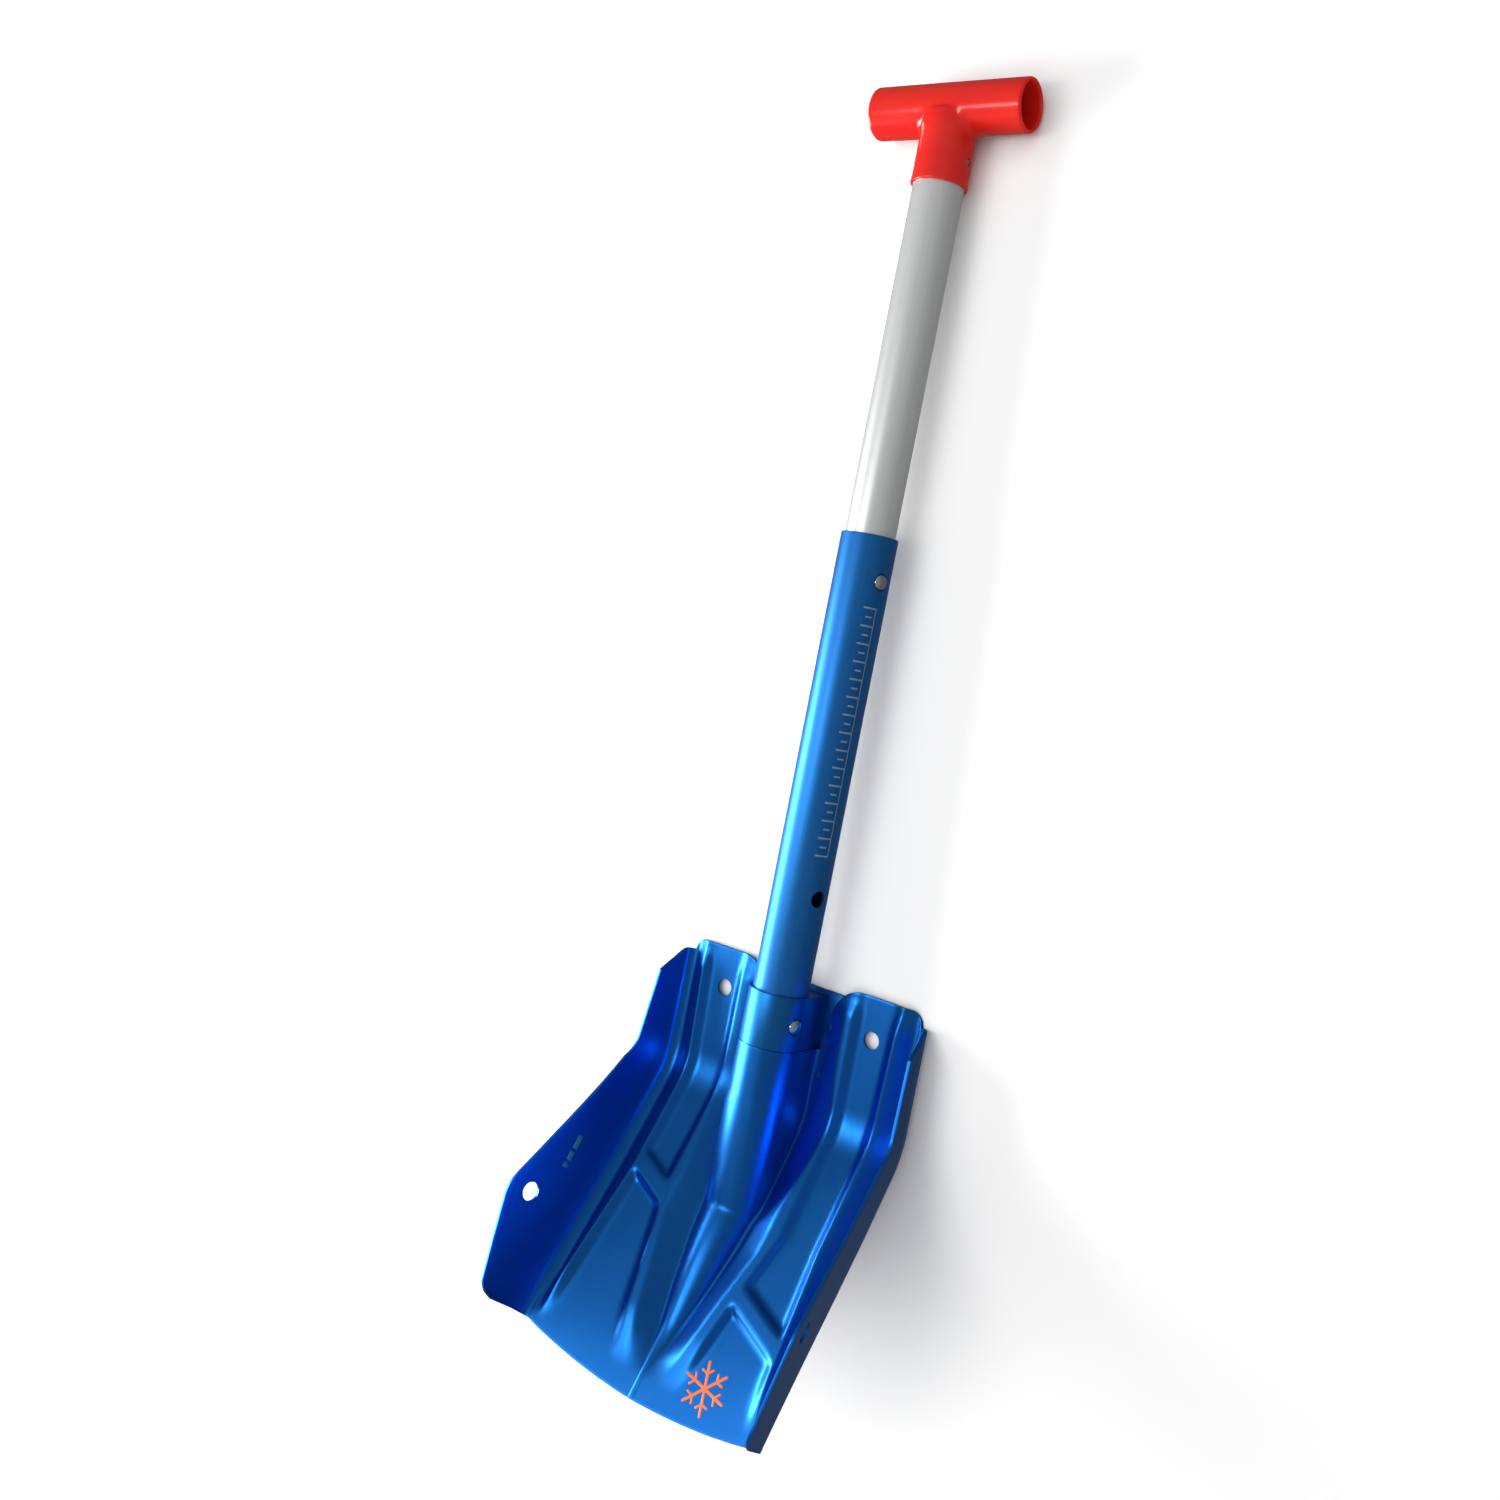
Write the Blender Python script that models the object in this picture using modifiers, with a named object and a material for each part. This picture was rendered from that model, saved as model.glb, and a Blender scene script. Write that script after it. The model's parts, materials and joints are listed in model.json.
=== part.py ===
"""Avalanche shovel: pressed aluminium blade, two-piece telescoping shaft, hollow T-grip.

The parts are modelled in the shaft's own frame: Y runs up the shaft towards the grip, X is
across the blade and Z points out of the blade's front. A parent empty then lays the shovel
on its back on the floor, with the middle of its bounding box over the origin.
"""

import math

import bmesh
import bpy
from mathutils import Matrix, Vector

MM = 0.001

# Shaft and grip: places along the shaft are distances from the blade's lock button.
LOWER_TUBE_RADIUS = 17.8 * MM
LOWER_TUBE_BORE = 16.0 * MM
UPPER_TUBE_RADIUS = 15.7 * MM
UPPER_TUBE_BORE = 14.2 * MM
LOWER_TUBE_START = -38.0 * MM
LOWER_TUBE_END = 305.9 * MM
UPPER_TUBE_START = 252.0 * MM
UPPER_TUBE_END = 545.3 * MM
UPPER_BUTTON_Y = 278.5 * MM
TRAVEL = 197.7 * MM
BUTTON_ANGLE = math.radians(75.0)
BUTTON_HOLE_RADIUS = 5.2 * MM
BUTTON_HOLE_INNER_END = 8.0 * MM
BUTTON_HOLE_OUTER_END = 26.0 * MM
BUTTON_RADIUS = 4.8 * MM
BUTTON_DOME = 2.6 * MM
BUTTON_FOOT_RADIUS = 6.3 * MM
BUTTON_FOOT_THICKNESS = 1.2 * MM
LOCK_BUTTON_TOP = 21.8 * MM
LENGTH_BUTTON_TOP = 19.6 * MM
BUSH_DEPTH = 10.0 * MM
BUSH_RIM = 4.0 * MM
BUSH_BORE = 11.0 * MM
PLUG_DEPTH = 8.0 * MM
PLUG_RIM = 3.0 * MM
PLUG_EDGE = 2.0 * MM
ROUND_STEPS = 32

GRIP_Y = 564.8 * MM
GRIP_HALF_LENGTH = 52.0 * MM
GRIP_RADIUS = 15.5 * MM
GRIP_BORE = 12.6 * MM
GRIP_LIP = 1.0 * MM
STEM_RADIUS = 17.2 * MM
STEM_BORE = 16.0 * MM
STEM_START = 518.2 * MM
STEM_END = GRIP_Y - 4.0 * MM
STEM_TURN = 0.05
GRIP_PIN_Y = 533.0 * MM
GRIP_PIN_RADIUS = 2.0 * MM
GRIP_PIN_EDGE = 0.4 * MM

# Blade: V is the distance down its middle line from the top edge.
SHEET = 2.0 * MM
TOP_EDGE_Y = 27.3 * MM
AXIS_ABOVE_PLATE = 22.7 * MM
BEND_V = 86.8 * MM
BEND_RADIUS = 55.0 * MM
BEND_ANGLE = math.radians(31.0)
TIP_V = 281.5 * MM
CORNER_V = 271.0 * MM
HUMP_RADIUS = 20.6 * MM
HUMP_START_V = 43.4 * MM
NOTCH_HALF_WIDTH = 24.0 * MM
LOBE_CORNER = (20.0 * MM, 34.0 * MM)
OUTER_CORNER = 9.0 * MM
FLANGE_TOP_SLANT = (4.2 * MM, 15.0 * MM)
CREST = 4.0 * MM
VALLEY = -4.5 * MM
RIDGE_HEIGHT = 10.5 * MM
RIDGE_FADE_V = (165.0 * MM, 265.0 * MM)
RELIEF_FADE_V = (232.0 * MM, 268.0 * MM)
FOLD_X = 88.0 * MM
GUTTER = (86.0 * MM, -3.5 * MM)
FOLD_LOW = (92.3 * MM, 0.0)
FOLD_HIGH = (95.5 * MM, 8.0 * MM)
FLANGE_LEAN = 0.36
RIM_HEIGHT = 18.0 * MM
RIM_BOTTOM_ROUND = 9.0 * MM
DISH = 6.0 * MM
RIB_HALF_WIDTH = 8.0 * MM
RIB_EDGE = 3.0 * MM
RIB_SLOPE = 0.45
LEFT_RIB = (-76.0 * MM, 152.0 * MM)
RIGHT_RIB = (34.0 * MM, 200.0 * MM)

# Half-widths (V, X) of the pressed pattern's corners, joined by straight lines.
RIDGE_NARROWING = [(160.0 * MM, 1.0), (265.0 * MM, 0.55)]
RIDGE_SLOPE_X = [(90.0 * MM, 33.0 * MM), (176.0 * MM, 27.5 * MM), (265.0 * MM, 9.0 * MM)]
PANEL_INNER_X = [(0.0, 45.5 * MM), (160.0 * MM, 47.0 * MM), (200.0 * MM, 38.5 * MM),
                 (265.0 * MM, 26.0 * MM)]
PANEL_OUTER_X = [(0.0, 73.0 * MM), (80.0 * MM, 70.0 * MM), (160.0 * MM, 70.5 * MM),
                 (265.0 * MM, 79.0 * MM)]
UPPER_LASHING_HOLE = (57.6 * MM, 26.5 * MM, 5.5 * MM)
LOWER_LASHING_HOLE = (46.0 * MM, 205.5 * MM, 6.0 * MM)

# Socket: a collar round the shaft and a plate behind it, riveted to the blade.
COLLAR_START = -15.8 * MM
COLLAR_END = 18.3 * MM
COLLAR_RADIUS = 20.0 * MM
COLLAR_BORE = 18.1 * MM
GAP = 0.3 * MM
BACK_PLATE_THICKNESS = 2.0 * MM
BACK_PLATE_HALF_WIDTH = 37.0 * MM
BACK_PLATE_CORNER = 6.0 * MM
BACK_PLATE_START = -42.0 * MM
BACK_PLATE_END = 21.5 * MM
RIVET_RADIUS = 2.0 * MM
RIVET_HEAD_RADIUS = 3.4 * MM
RIVET_HEAD_HEIGHT = 1.4 * MM
RIVET_HOLE_REACH = 2.5 * MM
RIVET_SINK = 0.1 * MM
RIVET_STEPS = 16
BLADE_RIVET_X = 24.6 * MM
LOBE_RIVET_X = 27.0 * MM
BLADE_RIVET_YS = (-32.0 * MM, 0.0 * MM)
COLLAR_RIVET_X = 9.0 * MM
COLLAR_RIVET_Y = 1.2 * MM

SPRING_THICKNESS = 0.8 * MM
SPRING_WIDTH = 8.0 * MM
SPRING_LEG = 32.0 * MM
SPRING_PAD = 6.0 * MM
SPRING_NOSE = 3.0 * MM


# ---------------------------------------------------------------- small tools

def clear_scene():
    for item in list(bpy.data.objects):
        bpy.data.objects.remove(item, do_unlink=True)


def make_collection(name):
    collection = bpy.data.collections.new(name)
    bpy.context.scene.collection.children.link(collection)
    return collection


def make_material(name, color, roughness, metallic):
    material = bpy.data.materials.new(name)
    material.use_nodes = True
    shader = material.node_tree.nodes["Principled BSDF"]
    shader.inputs["Base Color"].default_value = (*color, 1.0)
    shader.inputs["Roughness"].default_value = roughness
    shader.inputs["Metallic"].default_value = metallic
    return material


def add_object(name, mesh, collection, parent, material=None):
    item = bpy.data.objects.new(name, mesh)
    collection.objects.link(item)
    item.parent = parent
    if material is not None:
        mesh.materials.append(material)
    return item


def shade_round(mesh):
    mesh.shade_smooth()
    mesh.set_sharp_from_angle(angle=math.radians(35.0))


def ramp(t, radius):
    """Zero before a corner and t after it, with a parabola over +-radius in between."""
    if t <= -radius:
        return 0.0
    if t >= radius:
        return t
    return (t + radius) ** 2 / (4.0 * radius)


def ease(t):
    t = min(max(t, 0.0), 1.0)
    return t * t * (3.0 - 2.0 * t)


def piecewise(v, points):
    """Straight lines through (v, value) points."""
    if v <= points[0][0]:
        return points[0][1]
    for (v0, a), (v1, b) in zip(points, points[1:]):
        if v <= v1:
            return a + (b - a) * (v - v0) / (v1 - v0)
    return points[-1][1]


def turned(name, profile, collection, parent, material, steps=ROUND_STEPS):
    """A closed outline of (radius, height) turned about Z by a Screw modifier."""
    mesh = bpy.data.meshes.new(name)
    vertices = [(radius, 0.0, height) for radius, height in profile]
    count = len(vertices)
    closed = min(radius for radius, _ in profile) > 0.0
    edges = [(i, (i + 1) % count) for i in range(count if closed else count - 1)]
    mesh.from_pydata(vertices, edges, [])
    item = add_object(name, mesh, collection, parent, material)
    screw = item.modifiers.new("Turn", "SCREW")
    screw.steps = steps
    screw.render_steps = steps
    screw.use_merge_vertices = True
    screw.merge_threshold = 0.00001
    screw.use_smooth_shade = True
    return item


def tube_profile(outer, inner, start, end):
    return [(outer, end), (outer, start), (inner, start), (inner, end)]


def along_shaft(item, y=0.0):
    """Turn an object's own Z to point up the shaft."""
    item.rotation_euler = (-math.pi / 2.0, 0.0, 0.0)
    item.location = (0.0, y, 0.0)


def along_button(item, y):
    """Turn an object's own Z to point out through the button hole at height y."""
    item.rotation_euler = (0.0, BUTTON_ANGLE, 0.0)
    item.location = (0.0, y, 0.0)


def cylinder_mesh(name, radius, start, end, segments=24):
    mesh = bpy.data.meshes.new(name)
    model = bmesh.new()
    bmesh.ops.create_cone(model, cap_ends=True, segments=segments, radius1=radius,
                          radius2=radius, depth=end - start)
    bmesh.ops.translate(model, verts=model.verts, vec=(0.0, 0.0, (start + end) / 2.0))
    model.to_mesh(mesh)
    model.free()
    return mesh


def hide_cutter(cutter):
    cutter.hide_render = True
    cutter.display_type = "WIRE"


def add_cutter(name, mesh, parent):
    cutter = add_object(name, mesh, bpy.data.collections["cutters"], parent)
    hide_cutter(cutter)
    return cutter


def combine(item, other, operation="DIFFERENCE"):
    modifier = item.modifiers.new(other.name, "BOOLEAN")
    modifier.operation = operation
    modifier.solver = "EXACT"
    modifier.object = other


# ---------------------------------------------------------------- blade surface

def base_frame(v):
    """Point and front normal of the plate's middle line, v down from the top edge."""
    straight = BEND_V - BEND_RADIUS * BEND_ANGLE / 2.0
    turn = min(max((v - straight) / BEND_RADIUS, 0.0), BEND_ANGLE)
    y = TOP_EDGE_Y - min(v, straight) - BEND_RADIUS * math.sin(turn)
    z = -AXIS_ABOVE_PLATE + BEND_RADIUS * (1.0 - math.cos(turn))
    beyond = max(v - straight - BEND_RADIUS * BEND_ANGLE, 0.0)
    point = Vector((0.0, y - beyond * math.cos(turn), z + beyond * math.sin(turn)))
    return point, Vector((0.0, math.sin(turn), math.cos(turn)))


def relief(v):
    """How strongly the pressed pattern stands out: it fades before the cutting edge."""
    start, end = RELIEF_FADE_V
    return 1.0 - ease((v - start) / (end - start))


def valley_level(v):
    """Height of the grooves beside the channel: level with the plate at the socket."""
    return VALLEY * relief(v) * ease((v - 60.0 * MM) / (60.0 * MM))


def hump_size(v):
    """Half-width and height of the shaft channel, then of the ridge that follows it."""
    floor = valley_level(v)
    point, normal = base_frame(v)
    channel = (HUMP_RADIUS - point.z) / normal.z - floor
    start, end = RIDGE_FADE_V
    ridge_end = 1.0 - ease((v - start) / (end - start))
    height = max(channel, RIDGE_HEIGHT * ridge_end + 0.3 * MM)
    if height >= HUMP_RADIUS:
        return HUMP_RADIUS, height
    width = math.sqrt(2.0 * HUMP_RADIUS * height - height * height)
    return width * piecewise(v, RIDGE_NARROWING), height


def rim_height(v):
    """Height of the side flange's rim above the plate."""
    height = RIM_HEIGHT + 0.14 * v
    height += 0.12 * ramp(v - 100.0 * MM, 30.0 * MM)
    height -= 0.59 * ramp(v - 208.0 * MM, 8.0 * MM)
    bottom = RIM_BOTTOM_ROUND
    over = min(v - (CORNER_V - bottom), bottom)
    if over > 0.0:
        height -= bottom - math.sqrt(bottom ** 2 - over ** 2)
    return height


def section_knots(v):
    """Corners (x, height, rounding) of the right half of the cross-section at v."""
    depth = relief(v)
    crest = CREST * depth * (0.4 + 0.6 * ease((v - 3.0 * MM) / (14.0 * MM)))
    valley = valley_level(v)
    width, height = hump_size(v)
    knots = []
    if height > width:
        radius, last = width, math.pi / 2.0
    else:
        radius = (width ** 2 + height ** 2) / (2.0 * height)
        last = 0.88 * math.asin(min(width / radius, 1.0))
    for k in range(7):
        angle = last * k / 6.0
        x = radius * math.sin(angle)
        knots.append((x, valley + height - radius * (1.0 - math.cos(angle)), 2.5 * MM))
    slope_middle = piecewise(v, RIDGE_SLOPE_X)
    recess_in = piecewise(v, PANEL_INNER_X)
    recess_out = piecewise(v, PANEL_OUTER_X)
    slope_half = (5.5 + 3.5 * ease((v - 40.0 * MM) / (40.0 * MM))) * MM
    slope_half = min(slope_half, (slope_middle - width) * 0.8)
    knots.append((width, valley, 3.0 * MM))
    knots.append((slope_middle - slope_half, valley, 2.5 * MM))
    knots.append((slope_middle + slope_half, crest, 2.5 * MM))
    knots.append((recess_in - 2.3 * MM, crest, 2.0 * MM))
    knots.append((recess_in + 2.8 * MM, 0.0, 2.0 * MM))
    knots.append((recess_out - 2.8 * MM, 0.0, 2.0 * MM))
    knots.append((recess_out + 2.3 * MM, crest, 2.0 * MM))
    knots.append((recess_out + 3.8 * MM, crest, 3.0 * MM))
    rim = rim_height(v)
    rim_x = FOLD_X + FLANGE_LEAN * rim
    fold_x = min(FOLD_HIGH[0], (FOLD_LOW[0] + rim_x) / 2.0)
    knots.append((GUTTER[0], GUTTER[1] * depth, 5.0 * MM))
    knots.append((*FOLD_LOW, 4.0 * MM))
    knots.append((fold_x, min(FOLD_HIGH[1], rim / 2.0), 5.0 * MM))
    knots.append((rim_x, rim, 0.0))
    return knots, crest


# Columns of the surface grid: (knot, share of the way to the next knot).
COLUMNS = [(k, 0.0) for k in range(7)]
COLUMNS += [(6, 0.5), (7, 0.0), (7, 0.55), (8, 0.0), (8, 0.5), (9, 0.0), (10, 0.0)]
COLUMNS += [(11, 0.0), (11, 0.33), (11, 0.67), (12, 0.0), (13, 0.0), (14, 0.0)]
COLUMNS += [(14, 0.5), (15, 0.0), (15, 0.5), (16, 0.0), (16, 0.5), (17, 0.0), (17, 0.3),
            (17, 0.65), (18, 0.0)]


def section_point(v, knot, share):
    """Point (x, height) of the rounded cross-section, and the crest height there."""
    knots, crest = section_knots(v)
    directions = []
    lengths = []
    for (xa, na, _), (xb, nb, _) in zip(knots, knots[1:]):
        length = max(math.hypot(xb - xa, nb - na), 0.0001 * MM)
        lengths.append(length)
        directions.append(Vector(((xb - xa) / length, (nb - na) / length)))
    starts = [0.0]
    for length in lengths:
        starts.append(starts[-1] + length)
    u = starts[knot] + (share * lengths[knot] if share else 0.0)
    point = Vector(knots[0][:2]) + directions[0] * u
    for i in range(1, len(directions)):
        rounding = min(knots[i][2], 0.45 * lengths[i - 1], 0.45 * lengths[i])
        point += (directions[i] - directions[i - 1]) * ramp(u - starts[i], rounding)
    return point, crest


def rib_share(x, v):
    """1 on the slanted rib that crosses each recessed panel, 0 away from it."""
    rib_x, rib_v = LEFT_RIB if x < 0.0 else RIGHT_RIB
    middle = rib_v + RIB_SLOPE * (x - rib_x)
    return ease((RIB_HALF_WIDTH + RIB_EDGE - abs(v - middle)) / (2.0 * RIB_EDGE))


def surface_point(side, knot, share, v):
    """Point of the blade's front surface."""
    flat, crest = section_point(v, knot, share)
    x = side * flat.x
    height = flat.y
    if 10 <= knot <= 13:
        height += (crest - height) * rib_share(x, v)
    middle, normal = base_frame(v)
    height += DISH * min(abs(x) / FOLD_X, 1.0) ** 2 * ease((v - 120.0 * MM) / (150.0 * MM))
    return middle + normal * height + Vector((x, 0.0, 0.0))


def top_edge(x):
    """Where the sheet starts at x: collar notch, rounded lobes, slanted end of the flange."""
    if x < NOTCH_HALF_WIDTH - 0.2 * MM:
        return HUMP_START_V
    wide, deep = LOBE_CORNER
    inward = min(max((NOTCH_HALF_WIDTH + wide - x) / wide, 0.0), 1.0)
    outward = min(max(x - FOLD_X + OUTER_CORNER, 0.0), OUTER_CORNER)
    outer_drop = OUTER_CORNER - math.sqrt(OUTER_CORNER ** 2 - outward ** 2)
    slant_x, slant_v = FLANGE_TOP_SLANT
    outer_drop += slant_v * min(max((x - FOLD_LOW[0]) / slant_x, 0.0), 1.0) ** 1.5
    return deep * (1.0 - math.sqrt(1.0 - inward ** 2)) + outer_drop


def tip_edge(x):
    """Where the sheet ends at x: the slightly bowed cutting edge."""
    return TIP_V - (TIP_V - CORNER_V) * min(x / FOLD_X, 1.0) ** 2


# Rows of the surface grid in mm down the middle line.
ROWS = [0, 3, 7, 13, 22, 33, 44, 56, 70, 76, 82, 88, 94, 100, 110, 122, 134, 143, 151, 159,
        167, 176, 185, 193, 200, 207, 214, 222, 231, 241, 251, 259, 266, 272, 277, 281.5]
STRAIGHT_ROWS_START = 70.0 * MM
STRAIGHT_ROWS_END = 231.0 * MM
TOP_OUTLINE_V = 40.0 * MM
TIP_OUTLINE_V = 255.0 * MM


def row_place(row, x):
    """Rows follow the outline near both ends and run straight across in between."""
    if row < STRAIGHT_ROWS_START:
        start = top_edge(x)
        return start + row * (STRAIGHT_ROWS_START - start) / STRAIGHT_ROWS_START
    if row > STRAIGHT_ROWS_END:
        share = (row - STRAIGHT_ROWS_END) / (TIP_V - STRAIGHT_ROWS_END)
        return STRAIGHT_ROWS_END + share * (tip_edge(x) - STRAIGHT_ROWS_END)
    return row


def blade_columns():
    """(side, knot, share, x near the top, x near the tip) across the whole width."""
    columns = []
    for knot, share in COLUMNS:
        at_top = section_point(TOP_OUTLINE_V, knot, share)[0].x
        at_tip = section_point(TIP_OUTLINE_V, knot, share)[0].x
        columns.append((1.0, knot, share, at_top, at_tip))
    left = [(-1.0, *rest) for _, *rest in reversed(columns[1:])]
    return left + columns


def blade_mesh():
    model = bmesh.new()
    columns = blade_columns()
    grid = []
    for row in ROWS:
        line = []
        for side, knot, share, at_top, at_tip in columns:
            x = at_top if row * MM < STRAIGHT_ROWS_START else at_tip
            v = row_place(row * MM, x)
            line.append(model.verts.new(surface_point(side, knot, share, v)))
        grid.append(line)
    for upper, lower in zip(grid, grid[1:]):
        for j in range(len(columns) - 1):
            model.faces.new((upper[j], lower[j], lower[j + 1], upper[j + 1]))
    mesh = bpy.data.meshes.new("blade")
    model.to_mesh(mesh)
    model.free()
    return mesh


def make_blade(collection, parent, material):
    blade = add_object("blade", blade_mesh(), collection, parent, material)
    shade_round(blade.data)
    solidify = blade.modifiers.new("Sheet", "SOLIDIFY")
    solidify.thickness = SHEET
    solidify.offset = -1.0
    cut_lashing_holes(blade, parent)
    return blade


def cut_lashing_holes(blade, parent):
    for side, word in ((1.0, "right"), (-1.0, "left")):
        x, v, radius = UPPER_LASHING_HOLE
        point, normal = base_frame(v)
        cutter = add_cutter("upper_lashing_hole_" + word,
                            cylinder_mesh("upper_lashing_hole", radius, -8 * MM, 8 * MM), parent)
        cutter.location = point + Vector((side * x, 0.0, 0.0))
        combine(blade, cutter)
        height, v, radius = LOWER_LASHING_HOLE
        point, normal = base_frame(v)
        outward = Vector((side, 0.0, 0.0)) - normal * FLANGE_LEAN
        cutter = add_cutter("lower_lashing_hole_" + word,
                            cylinder_mesh("lower_lashing_hole", radius, -9 * MM, 9 * MM), parent)
        across = Vector((side * (FOLD_X + FLANGE_LEAN * height), 0.0, 0.0))
        cutter.location = point + normal * height + across
        cutter.rotation_euler = outward.to_track_quat("Z", "Y").to_euler()
        combine(blade, cutter)


# ---------------------------------------------------------------- socket

def make_collar(collection, parent, material):
    """D-shaped band: round over the shaft, square down to a flat foot on the back plate."""
    foot = -AXIS_ABOVE_PLATE - SHEET
    outline = [(COLLAR_RADIUS, foot)]
    for k in range(17):
        angle = math.pi * k / 16.0
        outline.append((COLLAR_RADIUS * math.cos(angle), COLLAR_RADIUS * math.sin(angle)))
    outline.append((-COLLAR_RADIUS, foot))
    model = bmesh.new()
    face = model.faces.new([model.verts.new((x, COLLAR_START, z)) for x, z in outline])
    swept = bmesh.ops.extrude_face_region(model, geom=[face])
    moved = [item for item in swept["geom"] if isinstance(item, bmesh.types.BMVert)]
    bmesh.ops.translate(model, verts=moved, vec=(0.0, COLLAR_END - COLLAR_START, 0.0))
    bmesh.ops.recalc_face_normals(model, faces=model.faces)
    mesh = bpy.data.meshes.new("socket_collar")
    model.to_mesh(mesh)
    model.free()
    collar = add_object("socket_collar", mesh, collection, parent, material)
    bore = add_cutter("collar_bore", cylinder_mesh("collar_bore", COLLAR_BORE,
                      COLLAR_START - 5 * MM, COLLAR_END + 5 * MM, ROUND_STEPS), parent)
    along_shaft(bore)
    combine(collar, bore)
    return collar


def make_back_plate(collection, parent, material):
    """Flat plate that closes the channel behind the shaft."""
    top = -AXIS_ABOVE_PLATE - SHEET - GAP
    corner = BACK_PLATE_CORNER
    low, high = BACK_PLATE_START + corner, BACK_PLATE_END - corner
    side = BACK_PLATE_HALF_WIDTH - corner
    model = bmesh.new()
    outline = []
    for x, y, turn in ((side, high, 0), (-side, high, 1), (-side, low, 2), (side, low, 3)):
        for k in range(5):
            angle = math.pi / 2.0 * (turn + k / 4.0)
            outline.append((x + corner * math.cos(angle), y + corner * math.sin(angle)))
    face = model.faces.new([model.verts.new((x, y, top)) for x, y in outline])
    swept = bmesh.ops.extrude_face_region(model, geom=[face])
    moved = [item for item in swept["geom"] if isinstance(item, bmesh.types.BMVert)]
    bmesh.ops.translate(model, verts=moved, vec=(0.0, 0.0, -BACK_PLATE_THICKNESS))
    bmesh.ops.recalc_face_normals(model, faces=model.faces)
    mesh = bpy.data.meshes.new("socket_back_plate")
    model.to_mesh(mesh)
    model.free()
    return add_object("socket_back_plate", mesh, collection, parent, material)


def rivet_places():
    """(name, x, y) of every rivet."""
    places = []
    for side, word in ((1.0, "right"), (-1.0, "left")):
        lower_y, upper_y = BLADE_RIVET_YS
        places.append((f"blade_rivet_lower_{word}", side * BLADE_RIVET_X, lower_y))
        places.append((f"blade_rivet_upper_{word}", side * LOBE_RIVET_X, upper_y))
        places.append((f"collar_rivet_{word}", side * COLLAR_RIVET_X, COLLAR_RIVET_Y))
    return places


def rivet_profile(grow, front, back):
    """Shank with a countersunk head at the back, or the hole that it sits in."""
    shank = RIVET_RADIUS + grow
    return [(0.0, front), (shank, front), (shank, back + RIVET_HEAD_HEIGHT),
            (RIVET_HEAD_RADIUS + grow, back), (0.0, back)]


def make_rivets(collection, parent, material, blade, collar, back_plate):
    """Rivets that end flush with the sheet's front and just inside the plate's back."""
    front = -AXIS_ABOVE_PLATE
    back = front - SHEET - GAP - BACK_PLATE_THICKNESS
    for name, x, y in rivet_places():
        rivet = turned(name, rivet_profile(0.0, front, back + RIVET_SINK), collection, parent,
                       material, steps=RIVET_STEPS)
        rivet.location = (x, y, 0.0)
        hole = turned(name + "_hole", rivet_profile(GAP, front + RIVET_HOLE_REACH, back),
                      bpy.data.collections["cutters"], parent, None, steps=RIVET_STEPS)
        hole.location = (x, y, 0.0)
        hide_cutter(hole)
        combine(back_plate, hole)
        combine(collar if name.startswith("collar") else blade, hole)


# ---------------------------------------------------------------- shaft

def button_hole(name, y, parent):
    cutter = add_cutter(name, cylinder_mesh(name, BUTTON_HOLE_RADIUS, BUTTON_HOLE_INNER_END,
                                            BUTTON_HOLE_OUTER_END), parent)
    along_button(cutter, y)
    return cutter


def make_shafts(collection, parent, lower_material, upper_material, collar):
    lower = turned("lower_shaft", tube_profile(LOWER_TUBE_RADIUS, LOWER_TUBE_BORE,
                   LOWER_TUBE_START, LOWER_TUBE_END), collection, parent, lower_material)
    along_shaft(lower)
    upper = turned("upper_shaft", tube_profile(UPPER_TUBE_RADIUS, UPPER_TUBE_BORE,
                   UPPER_TUBE_START, UPPER_TUBE_END), collection, parent, upper_material)
    along_shaft(upper)
    lock = button_hole("lock_button_hole", 0.0, parent)
    extended = button_hole("extended_button_hole", UPPER_BUTTON_Y, parent)
    stowed = button_hole("stowed_button_hole", UPPER_BUTTON_Y - TRAVEL, parent)
    combine(collar, lock)
    for hole in (lock, extended, stowed):
        combine(lower, hole)
    combine(upper, extended)
    return upper


def make_button(name, y, wall_radius, top_radius, collection, parent, material):
    """Domed pin on a wide foot that cannot pass the hole in the tube."""
    foot_top = math.sqrt(wall_radius ** 2 - BUTTON_FOOT_RADIUS ** 2) - GAP
    foot = foot_top - BUTTON_FOOT_THICKNESS
    profile = [(0.0, top_radius)]
    for k in range(1, 5):
        angle = math.pi / 2.0 * k / 4.0
        profile.append((BUTTON_RADIUS * math.sin(angle),
                        top_radius - BUTTON_DOME * (1.0 - math.cos(angle))))
    profile += [(BUTTON_RADIUS, foot_top), (BUTTON_FOOT_RADIUS, foot_top),
                (BUTTON_FOOT_RADIUS, foot), (0.0, foot)]
    button = turned(name, profile, collection, parent, material, steps=24)
    along_button(button, y)
    return foot


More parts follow.
